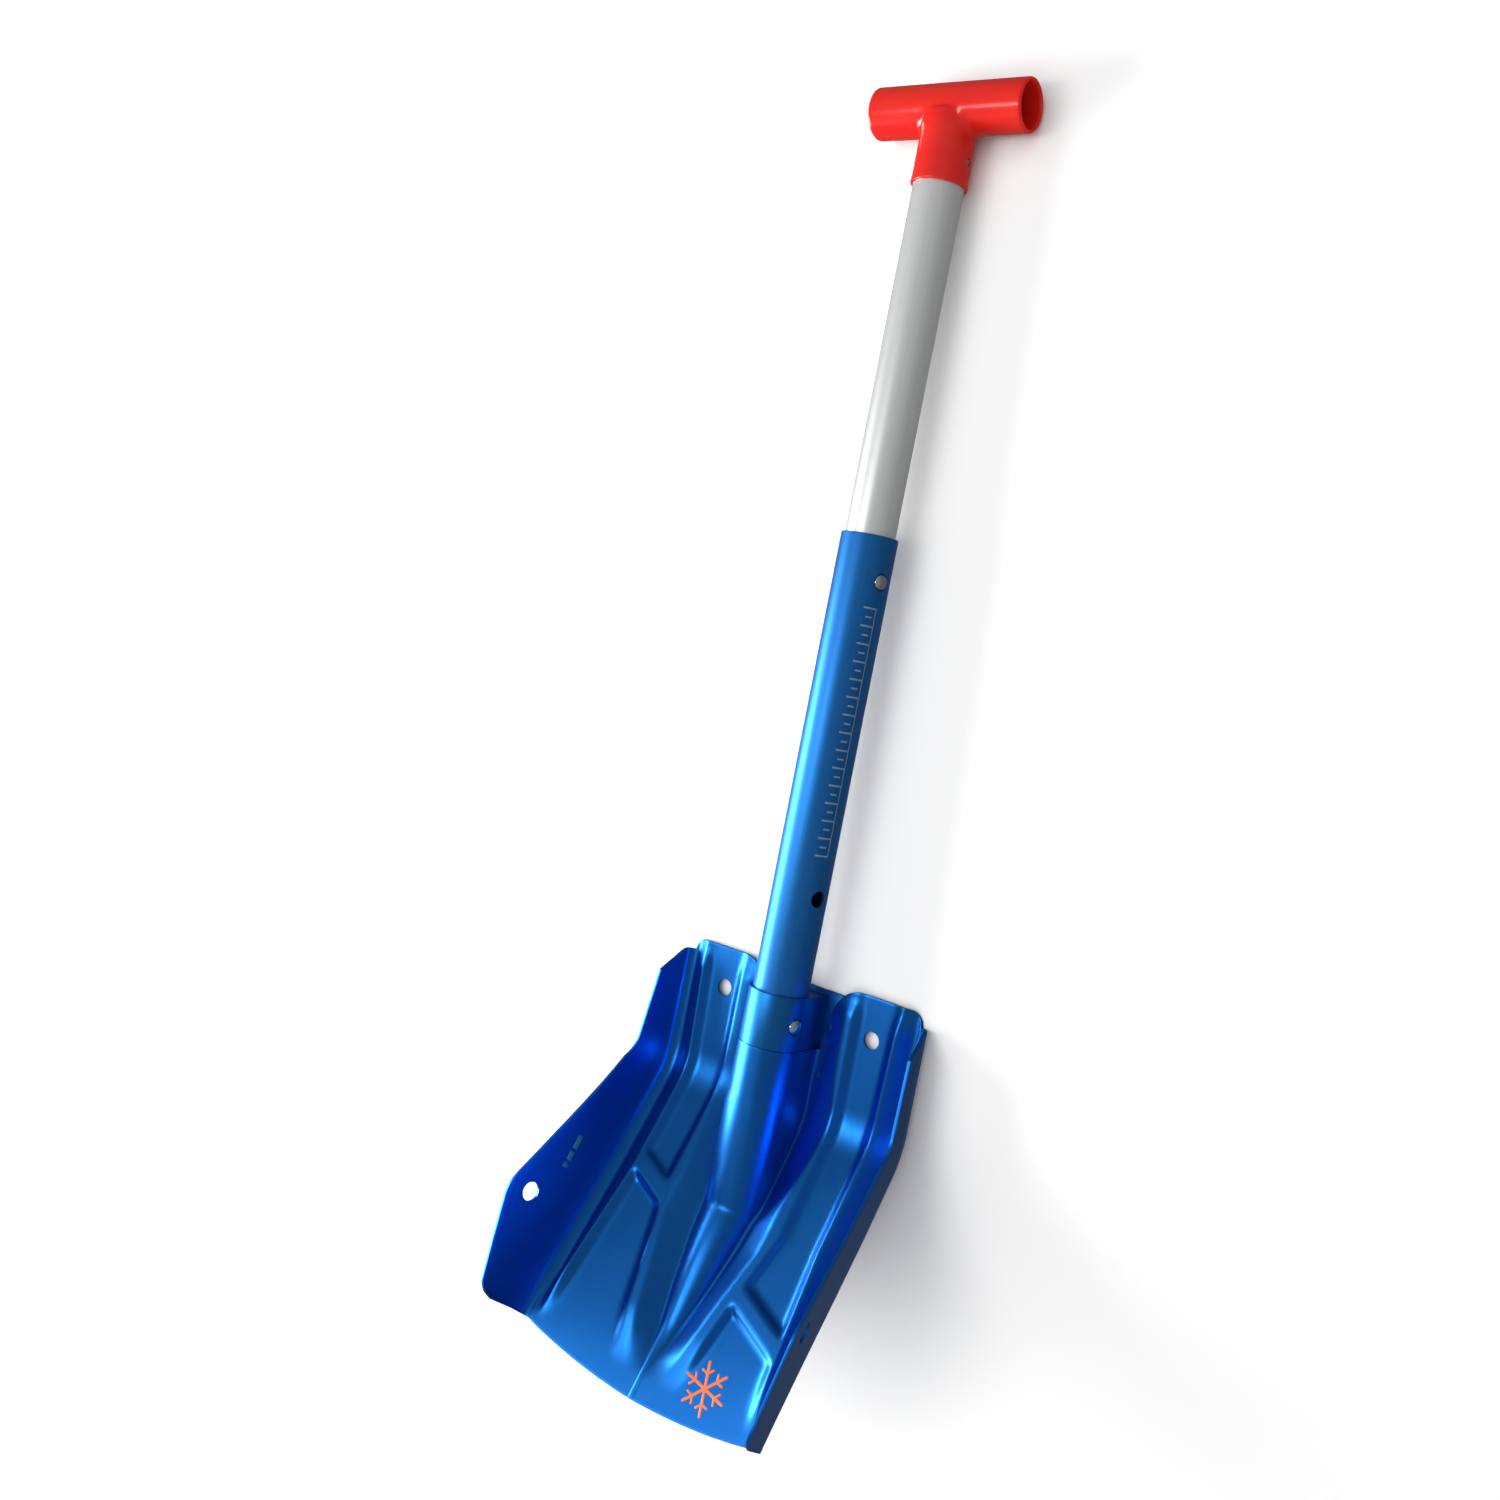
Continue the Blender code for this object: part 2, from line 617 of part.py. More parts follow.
def make_spring(name, y, foot, wall_radius, collection, parent, material):
    """Strip bent into a hairpin: one leg behind the button, the other on the far wall."""
    near = foot - GAP - SPRING_THICKNESS / 2.0
    chord = math.sqrt(wall_radius ** 2 - (SPRING_WIDTH / 2.0) ** 2)
    far = -(chord - GAP - SPRING_THICKNESS / 2.0)
    middle = (near + far) / 2.0
    path = [(near, -SPRING_PAD), (near, SPRING_PAD)]
    for k in range(9):
        angle = math.pi * k / 8.0
        path.append((middle + SPRING_NOSE * math.cos(angle),
                     SPRING_LEG + SPRING_NOSE * math.sin(angle)))
    path += [(far, SPRING_PAD), (far, -SPRING_PAD)]
    model = bmesh.new()
    lines = []
    for radial, along in path:
        lines.append([model.verts.new((side * SPRING_WIDTH / 2.0, along, radial))
                      for side in (-1.0, 1.0)])
    for first, second in zip(lines, lines[1:]):
        model.faces.new((first[0], first[1], second[1], second[0]))
    mesh = bpy.data.meshes.new(name)
    model.to_mesh(mesh)
    model.free()
    spring = add_object(name, mesh, collection, parent, material)
    solidify = spring.modifiers.new("Strip", "SOLIDIFY")
    solidify.thickness = SPRING_THICKNESS
    solidify.offset = 0.0
    along_button(spring, y)


def make_end_pieces(collection, parent, material):
    """Guide bush in the upper tube's lower end, and plug in the lower tube's end."""
    inner = UPPER_TUBE_BORE - GAP
    y = UPPER_TUBE_START
    bush = turned("guide_bush", [
        (inner, y + BUSH_DEPTH), (inner, y - GAP), (UPPER_TUBE_RADIUS, y - GAP),
        (UPPER_TUBE_RADIUS, y - BUSH_RIM), (BUSH_BORE, y - BUSH_RIM), (BUSH_BORE, y + BUSH_DEPTH),
    ], collection, parent, material)
    along_shaft(bush)
    inner, outer = LOWER_TUBE_BORE - GAP, LOWER_TUBE_RADIUS - GAP
    y = LOWER_TUBE_START
    plug = turned("shaft_end_plug", [
        (0.0, y + PLUG_DEPTH), (inner, y + PLUG_DEPTH), (inner, y - GAP), (outer, y - GAP),
        (outer, y - PLUG_EDGE), (outer - PLUG_EDGE, y - PLUG_RIM), (0.0, y - PLUG_RIM),
    ], collection, parent, material)
    along_shaft(plug)


# ---------------------------------------------------------------- grip

def make_grip(collection, parent, material, upper_shaft):
    """Hollow crossbar with rounded lips, on a stem that takes the end of the upper tube."""
    end, lip = GRIP_HALF_LENGTH, GRIP_LIP
    profile = [(GRIP_RADIUS - lip, end), (GRIP_RADIUS, end - lip), (GRIP_RADIUS, lip - end),
               (GRIP_RADIUS - lip, -end), (0.0, -end)]
    grip = turned("t_grip", [(0.0, end)] + profile, collection, parent, material)
    grip.rotation_euler = (0.0, math.pi / 2.0, 0.0)
    grip.location = (0.0, GRIP_Y, 0.0)
    stem = add_cutter("stem_solid", cylinder_mesh("stem_solid", STEM_RADIUS, STEM_START,
                      STEM_END, ROUND_STEPS), parent)
    upright = Matrix.Rotation(-math.pi / 2.0, 4, "X")
    stem.matrix_basis = upright @ Matrix.Rotation(STEM_TURN, 4, "Z")
    combine(grip, stem, "UNION")
    socket = add_cutter("stem_bore", cylinder_mesh("stem_bore", STEM_BORE, STEM_START - 5 * MM,
                        UPPER_TUBE_END + GAP, ROUND_STEPS), parent)
    along_shaft(socket)
    combine(grip, socket)
    hole = add_cutter("grip_pin_hole", cylinder_mesh("grip_pin_hole", GRIP_PIN_RADIUS + GAP,
                      -22 * MM, 22 * MM, 16), parent)
    hole.rotation_euler = (0.0, math.pi / 2.0, 0.0)
    hole.location = (0.0, GRIP_PIN_Y, 0.0)
    combine(grip, hole)
    combine(upper_shaft, hole)
    bore = add_cutter("crossbar_bore", cylinder_mesh("crossbar_bore", GRIP_BORE, -end - 5 * MM,
                      end + 5 * MM, ROUND_STEPS), parent)
    bore.rotation_euler = (0.0, math.pi / 2.0, 0.0)
    bore.location = (0.0, GRIP_Y, 0.0)
    combine(grip, bore)


def make_grip_pin(collection, parent, material):
    half, edge = STEM_RADIUS - GRIP_PIN_EDGE, GRIP_PIN_EDGE
    radius = GRIP_PIN_RADIUS
    pin = turned("grip_pin", [(0.0, half), (radius - edge, half), (radius, half - edge),
                 (radius, edge - half), (radius - edge, -half), (0.0, -half)],
                 collection, parent, material, steps=16)
    pin.rotation_euler = (0.0, math.pi / 2.0, 0.0)
    pin.location = (0.0, GRIP_PIN_Y, 0.0)


# ---------------------------------------------------------------- laying it down

def box_of(objects, matrix):
    """Lowest and highest corners of the finished meshes, seen through a matrix."""
    graph = bpy.context.evaluated_depsgraph_get()
    points = []
    for item in objects:
        finished = item.evaluated_get(graph)
        place = matrix @ finished.matrix_world
        points += [place @ vertex.co for vertex in finished.data.vertices]
    low = Vector([min(p[i] for p in points) for i in range(3)])
    high = Vector([max(p[i] for p in points) for i in range(3)])
    return low, high


def lay_on_floor(frame, collection):
    """Tilt the shovel until blade and grip both touch the floor, then centre it."""
    bpy.context.view_layer.update()
    parts = list(collection.objects)
    grip = [item for item in parts if item.name == "t_grip"]
    rest = [item for item in parts if item.name != "t_grip"]
    tilt = 0.0
    for _ in range(4):
        turn = Matrix.Rotation(-tilt, 4, "X")
        gap = box_of(grip, turn)[0].z - box_of(rest, turn)[0].z
        tilt += gap / (GRIP_Y + BEND_V)
    low, high = box_of(parts, Matrix.Rotation(-tilt, 4, "X"))
    frame.rotation_euler = (-tilt, 0.0, 0.0)
    frame.location = (0.0, -(low.y + high.y) / 2.0, -low.z)


def main():
    clear_scene()
    collection = make_collection("avalanche_shovel")
    make_collection("cutters")
    frame = bpy.data.objects.new("shaft_frame", None)
    bpy.context.scene.collection.objects.link(frame)

    blade_blue = make_material("blade_blue", (0.01, 0.09, 0.42), 0.32, 0.85)
    collar_blue = make_material("collar_blue", (0.01, 0.08, 0.36), 0.34, 0.85)
    plate_blue = make_material("plate_blue", (0.01, 0.08, 0.34), 0.36, 0.85)
    tube_blue = make_material("tube_blue", (0.01, 0.13, 0.48), 0.38, 0.8)
    silver = make_material("satin_silver", (0.68, 0.69, 0.69), 0.34, 1.0)
    rivet_metal = make_material("rivet_metal", (0.03, 0.1, 0.35), 0.35, 0.9)
    steel = make_material("button_steel", (0.6, 0.61, 0.62), 0.2, 1.0)
    spring_steel = make_material("spring_steel", (0.42, 0.42, 0.42), 0.3, 1.0)
    pin_steel = make_material("pin_steel", (0.6, 0.6, 0.6), 0.3, 1.0)
    red = make_material("grip_red", (0.86, 0.05, 0.02), 0.3, 0.0)
    black = make_material("black_plastic", (0.02, 0.02, 0.02), 0.5, 0.0)

    blade = make_blade(collection, frame, blade_blue)
    collar = make_collar(collection, frame, collar_blue)
    back_plate = make_back_plate(collection, frame, plate_blue)
    make_rivets(collection, frame, rivet_metal, blade, collar, back_plate)
    upper_shaft = make_shafts(collection, frame, tube_blue, silver, collar)
    make_end_pieces(collection, frame, black)
    make_grip(collection, frame, red, upper_shaft)
    make_grip_pin(collection, frame, pin_steel)
    foot = make_button("lock_button", 0.0, LOWER_TUBE_BORE, LOCK_BUTTON_TOP,
                       collection, frame, steel)
    make_spring("lock_button_spring", 0.0, foot, LOWER_TUBE_BORE,
                collection, frame, spring_steel)
    foot = make_button("length_button", UPPER_BUTTON_Y, UPPER_TUBE_BORE, LENGTH_BUTTON_TOP,
                       collection, frame, steel)
    make_spring("length_button_spring", UPPER_BUTTON_Y, foot, UPPER_TUBE_BORE,
                collection, frame, spring_steel)
    lay_on_floor(frame, collection)


main()
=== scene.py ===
"""Looks of the avalanche shovel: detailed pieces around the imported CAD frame.

Pieces are modelled in the shaft's own frame, as the CAD is: Y runs up the shaft from the
blade's lock button, X is across the blade and Z points out of the blade's front.
"""

import json
import math

import bmesh
import bpy
from mathutils import Matrix, Vector
from mathutils.bvhtree import BVHTree


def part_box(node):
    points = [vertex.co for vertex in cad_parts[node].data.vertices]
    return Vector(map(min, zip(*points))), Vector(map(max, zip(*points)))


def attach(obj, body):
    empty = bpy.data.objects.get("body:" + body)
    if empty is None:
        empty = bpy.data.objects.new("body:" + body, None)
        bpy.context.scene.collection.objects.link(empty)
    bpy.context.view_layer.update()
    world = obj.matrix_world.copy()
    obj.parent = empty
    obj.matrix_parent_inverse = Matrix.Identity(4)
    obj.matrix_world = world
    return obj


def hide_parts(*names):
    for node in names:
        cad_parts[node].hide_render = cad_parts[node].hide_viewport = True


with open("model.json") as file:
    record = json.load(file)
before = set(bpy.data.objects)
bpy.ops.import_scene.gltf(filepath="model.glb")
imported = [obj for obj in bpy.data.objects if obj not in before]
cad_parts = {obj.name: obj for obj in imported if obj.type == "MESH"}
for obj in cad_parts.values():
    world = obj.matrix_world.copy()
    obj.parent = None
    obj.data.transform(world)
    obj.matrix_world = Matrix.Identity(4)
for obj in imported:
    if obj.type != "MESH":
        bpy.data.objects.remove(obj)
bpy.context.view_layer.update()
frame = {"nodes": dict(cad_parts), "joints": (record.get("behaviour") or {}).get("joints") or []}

MM = 0.001

LOWER_TUBE_RADIUS = 17.8 * MM
LOWER_TUBE_BORE = 16.0 * MM
UPPER_TUBE_RADIUS = 15.7 * MM
UPPER_TUBE_BORE = 14.2 * MM
LOWER_TUBE_START = -38.0 * MM
LOWER_TUBE_END = 305.9 * MM
UPPER_TUBE_START = 252.0 * MM
UPPER_TUBE_END = 545.3 * MM
UPPER_BUTTON_Y = 278.5 * MM
TRAVEL = 197.7 * MM
BUTTON_ANGLE = math.radians(75.0)
BUTTON_HOLE_RADIUS = 5.2 * MM
BUTTON_RADIUS = 4.8 * MM
BUTTON_DOME = 2.6 * MM
BUTTON_EDGE = 0.3 * MM
BUTTON_FOOT_RADIUS = 6.3 * MM
BUTTON_FOOT_THICKNESS = 1.2 * MM
LOCK_BUTTON_TOP = 21.8 * MM
LENGTH_BUTTON_TOP = 19.6 * MM
DOME_STEPS = 12
TUBE_EDGE = 0.5 * MM
TUBE_STEPS = 128

GRIP_Y = 564.8 * MM
GRIP_HALF_LENGTH = 52.0 * MM
GRIP_RADIUS = 15.5 * MM
GRIP_BORE = 12.6 * MM
STEM_RADIUS = 17.2 * MM
STEM_BORE = 16.0 * MM
STEM_START = 518.2 * MM
GRIP_PIN_Y = 533.0 * MM
GRIP_PIN_RADIUS = 2.0 * MM

SHEET = 2.0 * MM
TOP_EDGE_Y = 27.3 * MM
AXIS_ABOVE_PLATE = 22.7 * MM
BEND_V = 86.8 * MM
BEND_RADIUS = 55.0 * MM
BEND_ANGLE = math.radians(31.0)
TIP_V = 281.5 * MM
CORNER_V = 271.0 * MM
HUMP_RADIUS = 20.6 * MM
HUMP_START_V = 43.4 * MM
NOTCH_HALF_WIDTH = 24.0 * MM
LOBE_CORNER = (20.0 * MM, 34.0 * MM)
OUTER_CORNER = 9.0 * MM
FLANGE_TOP_SLANT = (4.2 * MM, 15.0 * MM)
CREST = 4.0 * MM
VALLEY = -4.5 * MM
RIDGE_HEIGHT = 10.5 * MM
RIDGE_FADE_V = (165.0 * MM, 265.0 * MM)
RELIEF_FADE_V = (232.0 * MM, 268.0 * MM)
FOLD_X = 88.0 * MM
GUTTER = (86.0 * MM, -3.5 * MM)
FOLD_LOW = (92.3 * MM, 0.0)
FOLD_HIGH = (95.5 * MM, 8.0 * MM)
FLANGE_LEAN = 0.36
RIM_HEIGHT = 18.0 * MM
RIM_BOTTOM_ROUND = 9.0 * MM
DISH = 6.0 * MM
RIB_HALF_WIDTH = 8.0 * MM
RIB_EDGE = 3.0 * MM
RIB_SLOPE = 0.45
LEFT_RIB = (-76.0 * MM, 152.0 * MM)
RIGHT_RIB = (34.0 * MM, 200.0 * MM)
RIDGE_NARROWING = [(160.0 * MM, 1.0), (265.0 * MM, 0.55)]
RIDGE_SLOPE_X = [(90.0 * MM, 33.0 * MM), (176.0 * MM, 27.5 * MM), (265.0 * MM, 9.0 * MM)]
PANEL_INNER_X = [(0.0, 45.5 * MM), (160.0 * MM, 47.0 * MM), (200.0 * MM, 38.5 * MM),
                 (265.0 * MM, 26.0 * MM)]
PANEL_OUTER_X = [(0.0, 73.0 * MM), (80.0 * MM, 70.0 * MM), (160.0 * MM, 70.5 * MM),
                 (265.0 * MM, 79.0 * MM)]
STRAIGHT_ROWS_START = 70.0 * MM
STRAIGHT_ROWS_END = 231.0 * MM
TOP_OUTLINE_V = 40.0 * MM
TIP_OUTLINE_V = 255.0 * MM
VALLEY_START_V = 60.0 * MM
VALLEY_RUN = 60.0 * MM
CREST_START_V = 3.0 * MM
CREST_RUN = 14.0 * MM
CREST_AT_TOP = 0.4
LEAST_HUMP = 0.3 * MM
HUMP_ARC_SHARE = 0.88
HUMP_STEPS = 6
SLOPE_HALF = (5.5 * MM, 9.0 * MM)
SLOPE_WIDENING_V = (40.0 * MM, 80.0 * MM)
DISH_V = (120.0 * MM, 270.0 * MM)
# Slope of the rim's height along v, then each change of slope, its v and its rounding.
RIM_SLOPE = 0.14
RIM_SLOPE_CHANGES = [(0.12, 100.0 * MM, 30.0 * MM), (-0.59, 208.0 * MM, 8.0 * MM)]
UPPER_LASHING_HOLE = (57.6 * MM, 26.5 * MM, 5.5 * MM)
LOWER_LASHING_HOLE = (46.0 * MM, 205.5 * MM, 6.0 * MM)

COLLAR_START = -15.8 * MM
COLLAR_END = 18.3 * MM
COLLAR_RADIUS = 20.0 * MM
COLLAR_BORE = 18.1 * MM
GAP = 0.3 * MM
BACK_PLATE_THICKNESS = 2.0 * MM
BACK_PLATE_HALF_WIDTH = 37.0 * MM
BACK_PLATE_CORNER_REACH = 9.6 * MM
BACK_PLATE_START = -42.0 * MM
BACK_PLATE_END = 21.5 * MM
RIVET_RADIUS = 2.0 * MM
RIVET_HEAD_RADIUS = 3.4 * MM
RIVET_HEAD_HEIGHT = 1.4 * MM
RIVET_FIT = 0.08 * MM
RIVET_SINK = 0.1 * MM
RIVETS = {
    "blade_rivet_lower_right": (24.6 * MM, -32.0 * MM),
    "blade_rivet_lower_left": (-24.6 * MM, -32.0 * MM),
    "blade_rivet_upper_right": (27.0 * MM, 0.0),
    "blade_rivet_upper_left": (-27.0 * MM, 0.0),
    "collar_rivet_right": (9.0 * MM, 1.2 * MM),
    "collar_rivet_left": (-9.0 * MM, 1.2 * MM),
}


# ---------------------------------------------------------------- places

def shaft_matrix():
    """The shaft's frame in the row frame, from the telescope joint and the lower tube."""
    slide = next(joint for joint in frame["joints"] if joint["name"] == "shaft_telescope")
    axis = Vector(slide["axis"])
    low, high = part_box("lower_shaft")
    origin = (low + high) / 2.0 - axis * (LOWER_TUBE_START + LOWER_TUBE_END) / 2.0
    return Matrix.Translation(origin) @ Matrix.Rotation(math.atan2(axis.z, axis.y), 4, "X")


SHAFT = shaft_matrix()
UP_SHAFT = Matrix.Rotation(-math.pi / 2.0, 4, "X")
ALONG_GRIP = Matrix.Rotation(math.pi / 2.0, 4, "Y")
AT_GRIP_PIN = Matrix.Translation((0.0, GRIP_PIN_Y, 0.0)) @ ALONG_GRIP


def at_button(y):
    """Turns a piece's own Z to point out through the button hole at height y."""
    return Matrix.Translation((0.0, y, 0.0)) @ Matrix.Rotation(BUTTON_ANGLE, 4, "Y")


# ---------------------------------------------------------------- mesh tools

def ramp(t, radius):
    """Zero before a corner and t after it, with a parabola over +-radius in between."""
    if t <= -radius:
        return 0.0
    if t >= radius:
        return t
    return (t + radius) ** 2 / (4.0 * radius)


def ease(t):
    t = min(max(t, 0.0), 1.0)
    return t * t * (3.0 - 2.0 * t)


def piecewise(v, points):
    """Straight lines through (v, value) points."""
    if v <= points[0][0]:
        return points[0][1]
    for (v0, a), (v1, b) in zip(points, points[1:]):
        if v <= v1:
            return a + (b - a) * (v - v0) / (v1 - v0)
    return points[-1][1]


def mesh_of(model, name):
    bmesh.ops.recalc_face_normals(model, faces=model.faces)
    mesh = bpy.data.meshes.new(name)
    model.to_mesh(mesh)
    model.free()
    return mesh


def add_object(name, mesh):
    item = bpy.data.objects.new(name, mesh)
    bpy.context.scene.collection.objects.link(item)
    return item


def rounded(points, radius, closed=True, steps=4):
    """The outline with each corner replaced by a short curve."""
    result = []
    count = len(points)
    for i, point in enumerate(points):
        corner = Vector(point)
        if not closed and i in (0, count - 1):
            result.append(corner)
            continue
        before = Vector(points[i - 1]) - corner
        after = Vector(points[(i + 1) % count]) - corner
        reach = min(radius, 0.45 * before.length, 0.45 * after.length)
        start = corner + before.normalized() * reach
        end = corner + after.normalized() * reach
        for k in range(steps + 1):
            t = k / steps
            result.append(start * (1 - t) ** 2 + corner * 2 * t * (1 - t) + end * t * t)
    return [tuple(point) for point in result]


def turned_mesh(name, profile, place, steps=TUBE_STEPS):
    """An outline of (radius, height) turned about Z; one that starts on the axis ends there."""
    model = bmesh.new()
    rings = []
    for radius, height in profile:
        if radius < 1e-7:
            rings.append([model.verts.new(place @ Vector((0.0, 0.0, height)))] * steps)
            continue
        ring = []
        for k in range(steps):
            angle = 2.0 * math.pi * k / steps
            spot = Vector((radius * math.cos(angle), radius * math.sin(angle), height))
            ring.append(model.verts.new(place @ spot))
        rings.append(ring)
    pairs = list(zip(rings, rings[1:]))
    if profile[0][0] > 1e-7:
        pairs.append((rings[-1], rings[0]))
    for lower, upper in pairs:
        for k in range(steps):
            n = (k + 1) % steps
            corners = [lower[k], lower[n], upper[n], upper[k]]
            model.faces.new(list(dict.fromkeys(corners)))
    return mesh_of(model, name)


def rod_mesh(radius, start, end, place, steps=64):
    return turned_mesh("rod", [(0.0, start), (radius, start), (radius, end), (0.0, end)],
                       place, steps)


def button_cutter(y):
    return rod_mesh(BUTTON_HOLE_RADIUS, 8 * MM, 26 * MM, at_button(y))


def pin_cutter():
    return rod_mesh(GRIP_PIN_RADIUS + GAP, -22 * MM, 22 * MM, AT_GRIP_PIN, 32)


def extruded_mesh(name, outline, start, end, place):
    """An outline of (x, y) pushed from start to end along Z."""
    model = bmesh.new()
    face = model.faces.new([model.verts.new((x, y, start)) for x, y in outline])
    swept = bmesh.ops.extrude_face_region(model, geom=[face])
    moved = [item for item in swept["geom"] if isinstance(item, bmesh.types.BMVert)]
    bmesh.ops.translate(model, verts=moved, vec=(0.0, 0.0, end - start))
    bmesh.ops.transform(model, matrix=place, verts=model.verts)
    return mesh_of(model, name)


def apply_modifiers(item):
    graph = bpy.context.evaluated_depsgraph_get()
    mesh = bpy.data.meshes.new_from_object(item.evaluated_get(graph))
    item.modifiers.clear()
    item.data = mesh


def combine(item, meshes, operation="DIFFERENCE"):
    """Cuts or joins each mesh with the item, one after another."""
    for mesh in meshes:
        other = add_object("tool", mesh)
        modifier = item.modifiers.new("Combine", "BOOLEAN")
        modifier.operation = operation
        modifier.solver = "EXACT"
        modifier.object = other
        apply_modifiers(item)
        bpy.data.objects.remove(other, do_unlink=True)


def bevel(item, width, angle=50.0, segments=3):
    modifier = item.modifiers.new("Edges", "BEVEL")
    modifier.width = width
    modifier.segments = segments
    modifier.limit_method = "ANGLE"
    modifier.angle_limit = math.radians(angle)
    modifier.harden_normals = False
    apply_modifiers(item)


def shade(item, angle=40.0):
    item.data.shade_smooth()
    item.data.set_sharp_from_angle(angle=math.radians(angle))


def finish_piece(item, body, slot, material, *nodes):
    """Puts a piece made in the shaft's frame in its place on a CAD body."""
    item.data.materials.clear()
    item.data.materials.append(material)
    item.matrix_world = SHAFT
    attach(item, body)
    if nodes:
        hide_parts(*nodes)
    return item


# ---------------------------------------------------------------- materials

def make_material(name, color, metallic, roughness, **settings):
    """A Principled material; settings are shader inputs with spaces as underscores."""
    material = bpy.data.materials.new(name)
    material.use_nodes = True
    shader = material.node_tree.nodes["Principled BSDF"]
    shader.inputs["Base Color"].default_value = (*color, 1.0)
    shader.inputs["Metallic"].default_value = metallic
    shader.inputs["Roughness"].default_value = roughness
    for key, value in settings.items():
        shader.inputs[key.replace("_", " ")].default_value = value
    return material


def add_node(material, kind, inputs=None, **settings):
    """A node whose inputs are numbers, colours or other nodes' sockets."""
    tree = material.node_tree
    node = tree.nodes.new(kind)
    for key, value in settings.items():
        setattr(node, key, value)
    for key, value in (inputs or {}).items():
        if isinstance(value, bpy.types.NodeSocket):
            tree.links.new(value, node.inputs[key])
        else:
            node.inputs[key].default_value = value
    return node


def shader_of(material):
    return material.node_tree.nodes["Principled BSDF"]


def link(material, socket, name):
    material.node_tree.links.new(socket, shader_of(material).inputs[name])


def maths(material, operation, a, b=0.0):
    return add_node(material, "ShaderNodeMath", {0: a, 1: b}, operation=operation).outputs[0]


def mixed(material, factor, a, b):
    """Colour a where factor is 0, b where it is 1."""
    node = add_node(material, "ShaderNodeMix", data_type="RGBA")
    tree = material.node_tree
    for index, value in ((0, factor), (6, a), (7, b)):
        if isinstance(value, bpy.types.NodeSocket):
            tree.links.new(value, node.inputs[index])
        else:
            node.inputs[index].default_value = value
    return node.outputs[2]


def object_coordinates(material):
    return add_node(material, "ShaderNodeTexCoord").outputs["Object"]


def noise(material, scale, stretch=(1.0, 1.0, 1.0), detail=3.0):
    """Noise over the piece; scale is in cells per metre, times stretch on each axis."""
    mapping = add_node(material, "ShaderNodeMapping",
                       {"Vector": object_coordinates(material), "Scale": stretch})
    return add_node(material, "ShaderNodeTexNoise",
                    {"Vector": mapping.outputs[0], "Scale": scale, "Detail": detail}).outputs[0]


def spread(material, value, low, high, start=0.3, end=0.7):
    """The value's start-to-end range mapped to low-to-high."""
    node = add_node(material, "ShaderNodeMapRange",
                    {"Value": value, "From Min": start, "From Max": end,
                     "To Min": low, "To Max": high})
    return node.outputs[0]


def add_bump(material, height, distance, strength=1.0):
    node = add_node(material, "ShaderNodeBump",
                    {"Height": height, "Distance": distance, "Strength": strength})
    link(material, node.outputs[0], "Normal")


def anodised(name, color, darker, roughness):
    """Dyed aluminium: blotches in the dye, fine rolled grain and a satin etch."""
    material = make_material(name, color, 1.0, roughness)
    blotches = noise(material, 14.0)
    grain = noise(material, 60.0, (9.0, 0.5, 9.0), 4.0)
    etch = noise(material, 1800.0, detail=2.0)
    tone = maths(material, "MULTIPLY", spread(material, blotches, 0.0, 0.6),
                 spread(material, grain, 0.6, 1.0))
    link(material, mixed(material, tone, (*color, 1.0), (*darker, 1.0)), "Base Color")
    rough = maths(material, "ADD", spread(material, grain, roughness - 0.03, roughness + 0.03),
                  spread(material, blotches, -0.015, 0.02))
    link(material, rough, "Roughness")
    height = maths(material, "ADD", maths(material, "MULTIPLY", etch, 0.5),
                   maths(material, "MULTIPLY", grain, 0.5))
    add_bump(material, height, 0.02 * MM)
    return material


def tube_coordinates(material):
    """Angle round the shaft, 0 at its front and growing towards +X, and height up it."""
    split = add_node(material, "ShaderNodeSeparateXYZ", {0: object_coordinates(material)})
    return maths(material, "ARCTAN2", split.outputs[0], split.outputs[2]), split.outputs[1]


def band(material, value, middle, half, soft):
    """1 where value is within half of middle, with soft edges."""
    away = maths(material, "ABSOLUTE", maths(material, "SUBTRACT", value, middle))
    node = add_node(material, "ShaderNodeMapRange",
                    {"Value": away, "From Min": half + soft, "From Max": half - soft})
    return node.outputs[0]


SCALE_START = 108.0 * MM
SCALE_END = 262.0 * MM
LONG_TICKS = (11.0 * MM, math.radians(14.0))
SHORT_TICKS = (5.5 * MM, math.radians(7.0))
TICK_HALF_WIDTH = 0.55 * MM
TICK_ANGLE = math.radians(61.0)
BASELINE_ANGLE = math.radians(76.0)
BASELINE_HALF_WIDTH = math.radians(1.1)
PRINT_COLOR = (0.42, 0.55, 0.68, 1.0)


def add_tick_scale(material, plain):
    """A plain scale printed along the tube: a line, and long ticks with short ones between."""
    angle, y = tube_coordinates(material)
    masks = []
    for step, half_angle in (LONG_TICKS, SHORT_TICKS):
        part = maths(material, "DIVIDE", maths(material, "SUBTRACT", y, SCALE_START), step)
        nearest = maths(material, "ROUND", part)
        away = maths(material, "ABSOLUTE", maths(material, "SUBTRACT", part, nearest))
        tick = band(material, away, 0.0, TICK_HALF_WIDTH / step, 0.1 * MM / step)
        wide = band(material, angle, TICK_ANGLE, half_angle, math.radians(0.4))
        masks.append(maths(material, "MULTIPLY", tick, wide))
    ticks = maths(material, "MAXIMUM", *masks)
    line = band(material, angle, BASELINE_ANGLE, BASELINE_HALF_WIDTH, math.radians(0.3))
    printed = maths(material, "MAXIMUM", ticks, line)
    middle, half = (SCALE_START + SCALE_END) / 2.0, (SCALE_END - SCALE_START) / 2.0
    printed = maths(material, "MULTIPLY", printed,
                    band(material, y, middle, half + 0.6 * MM, 0.1 * MM))
    link(material, mixed(material, printed, plain, PRINT_COLOR), "Base Color")


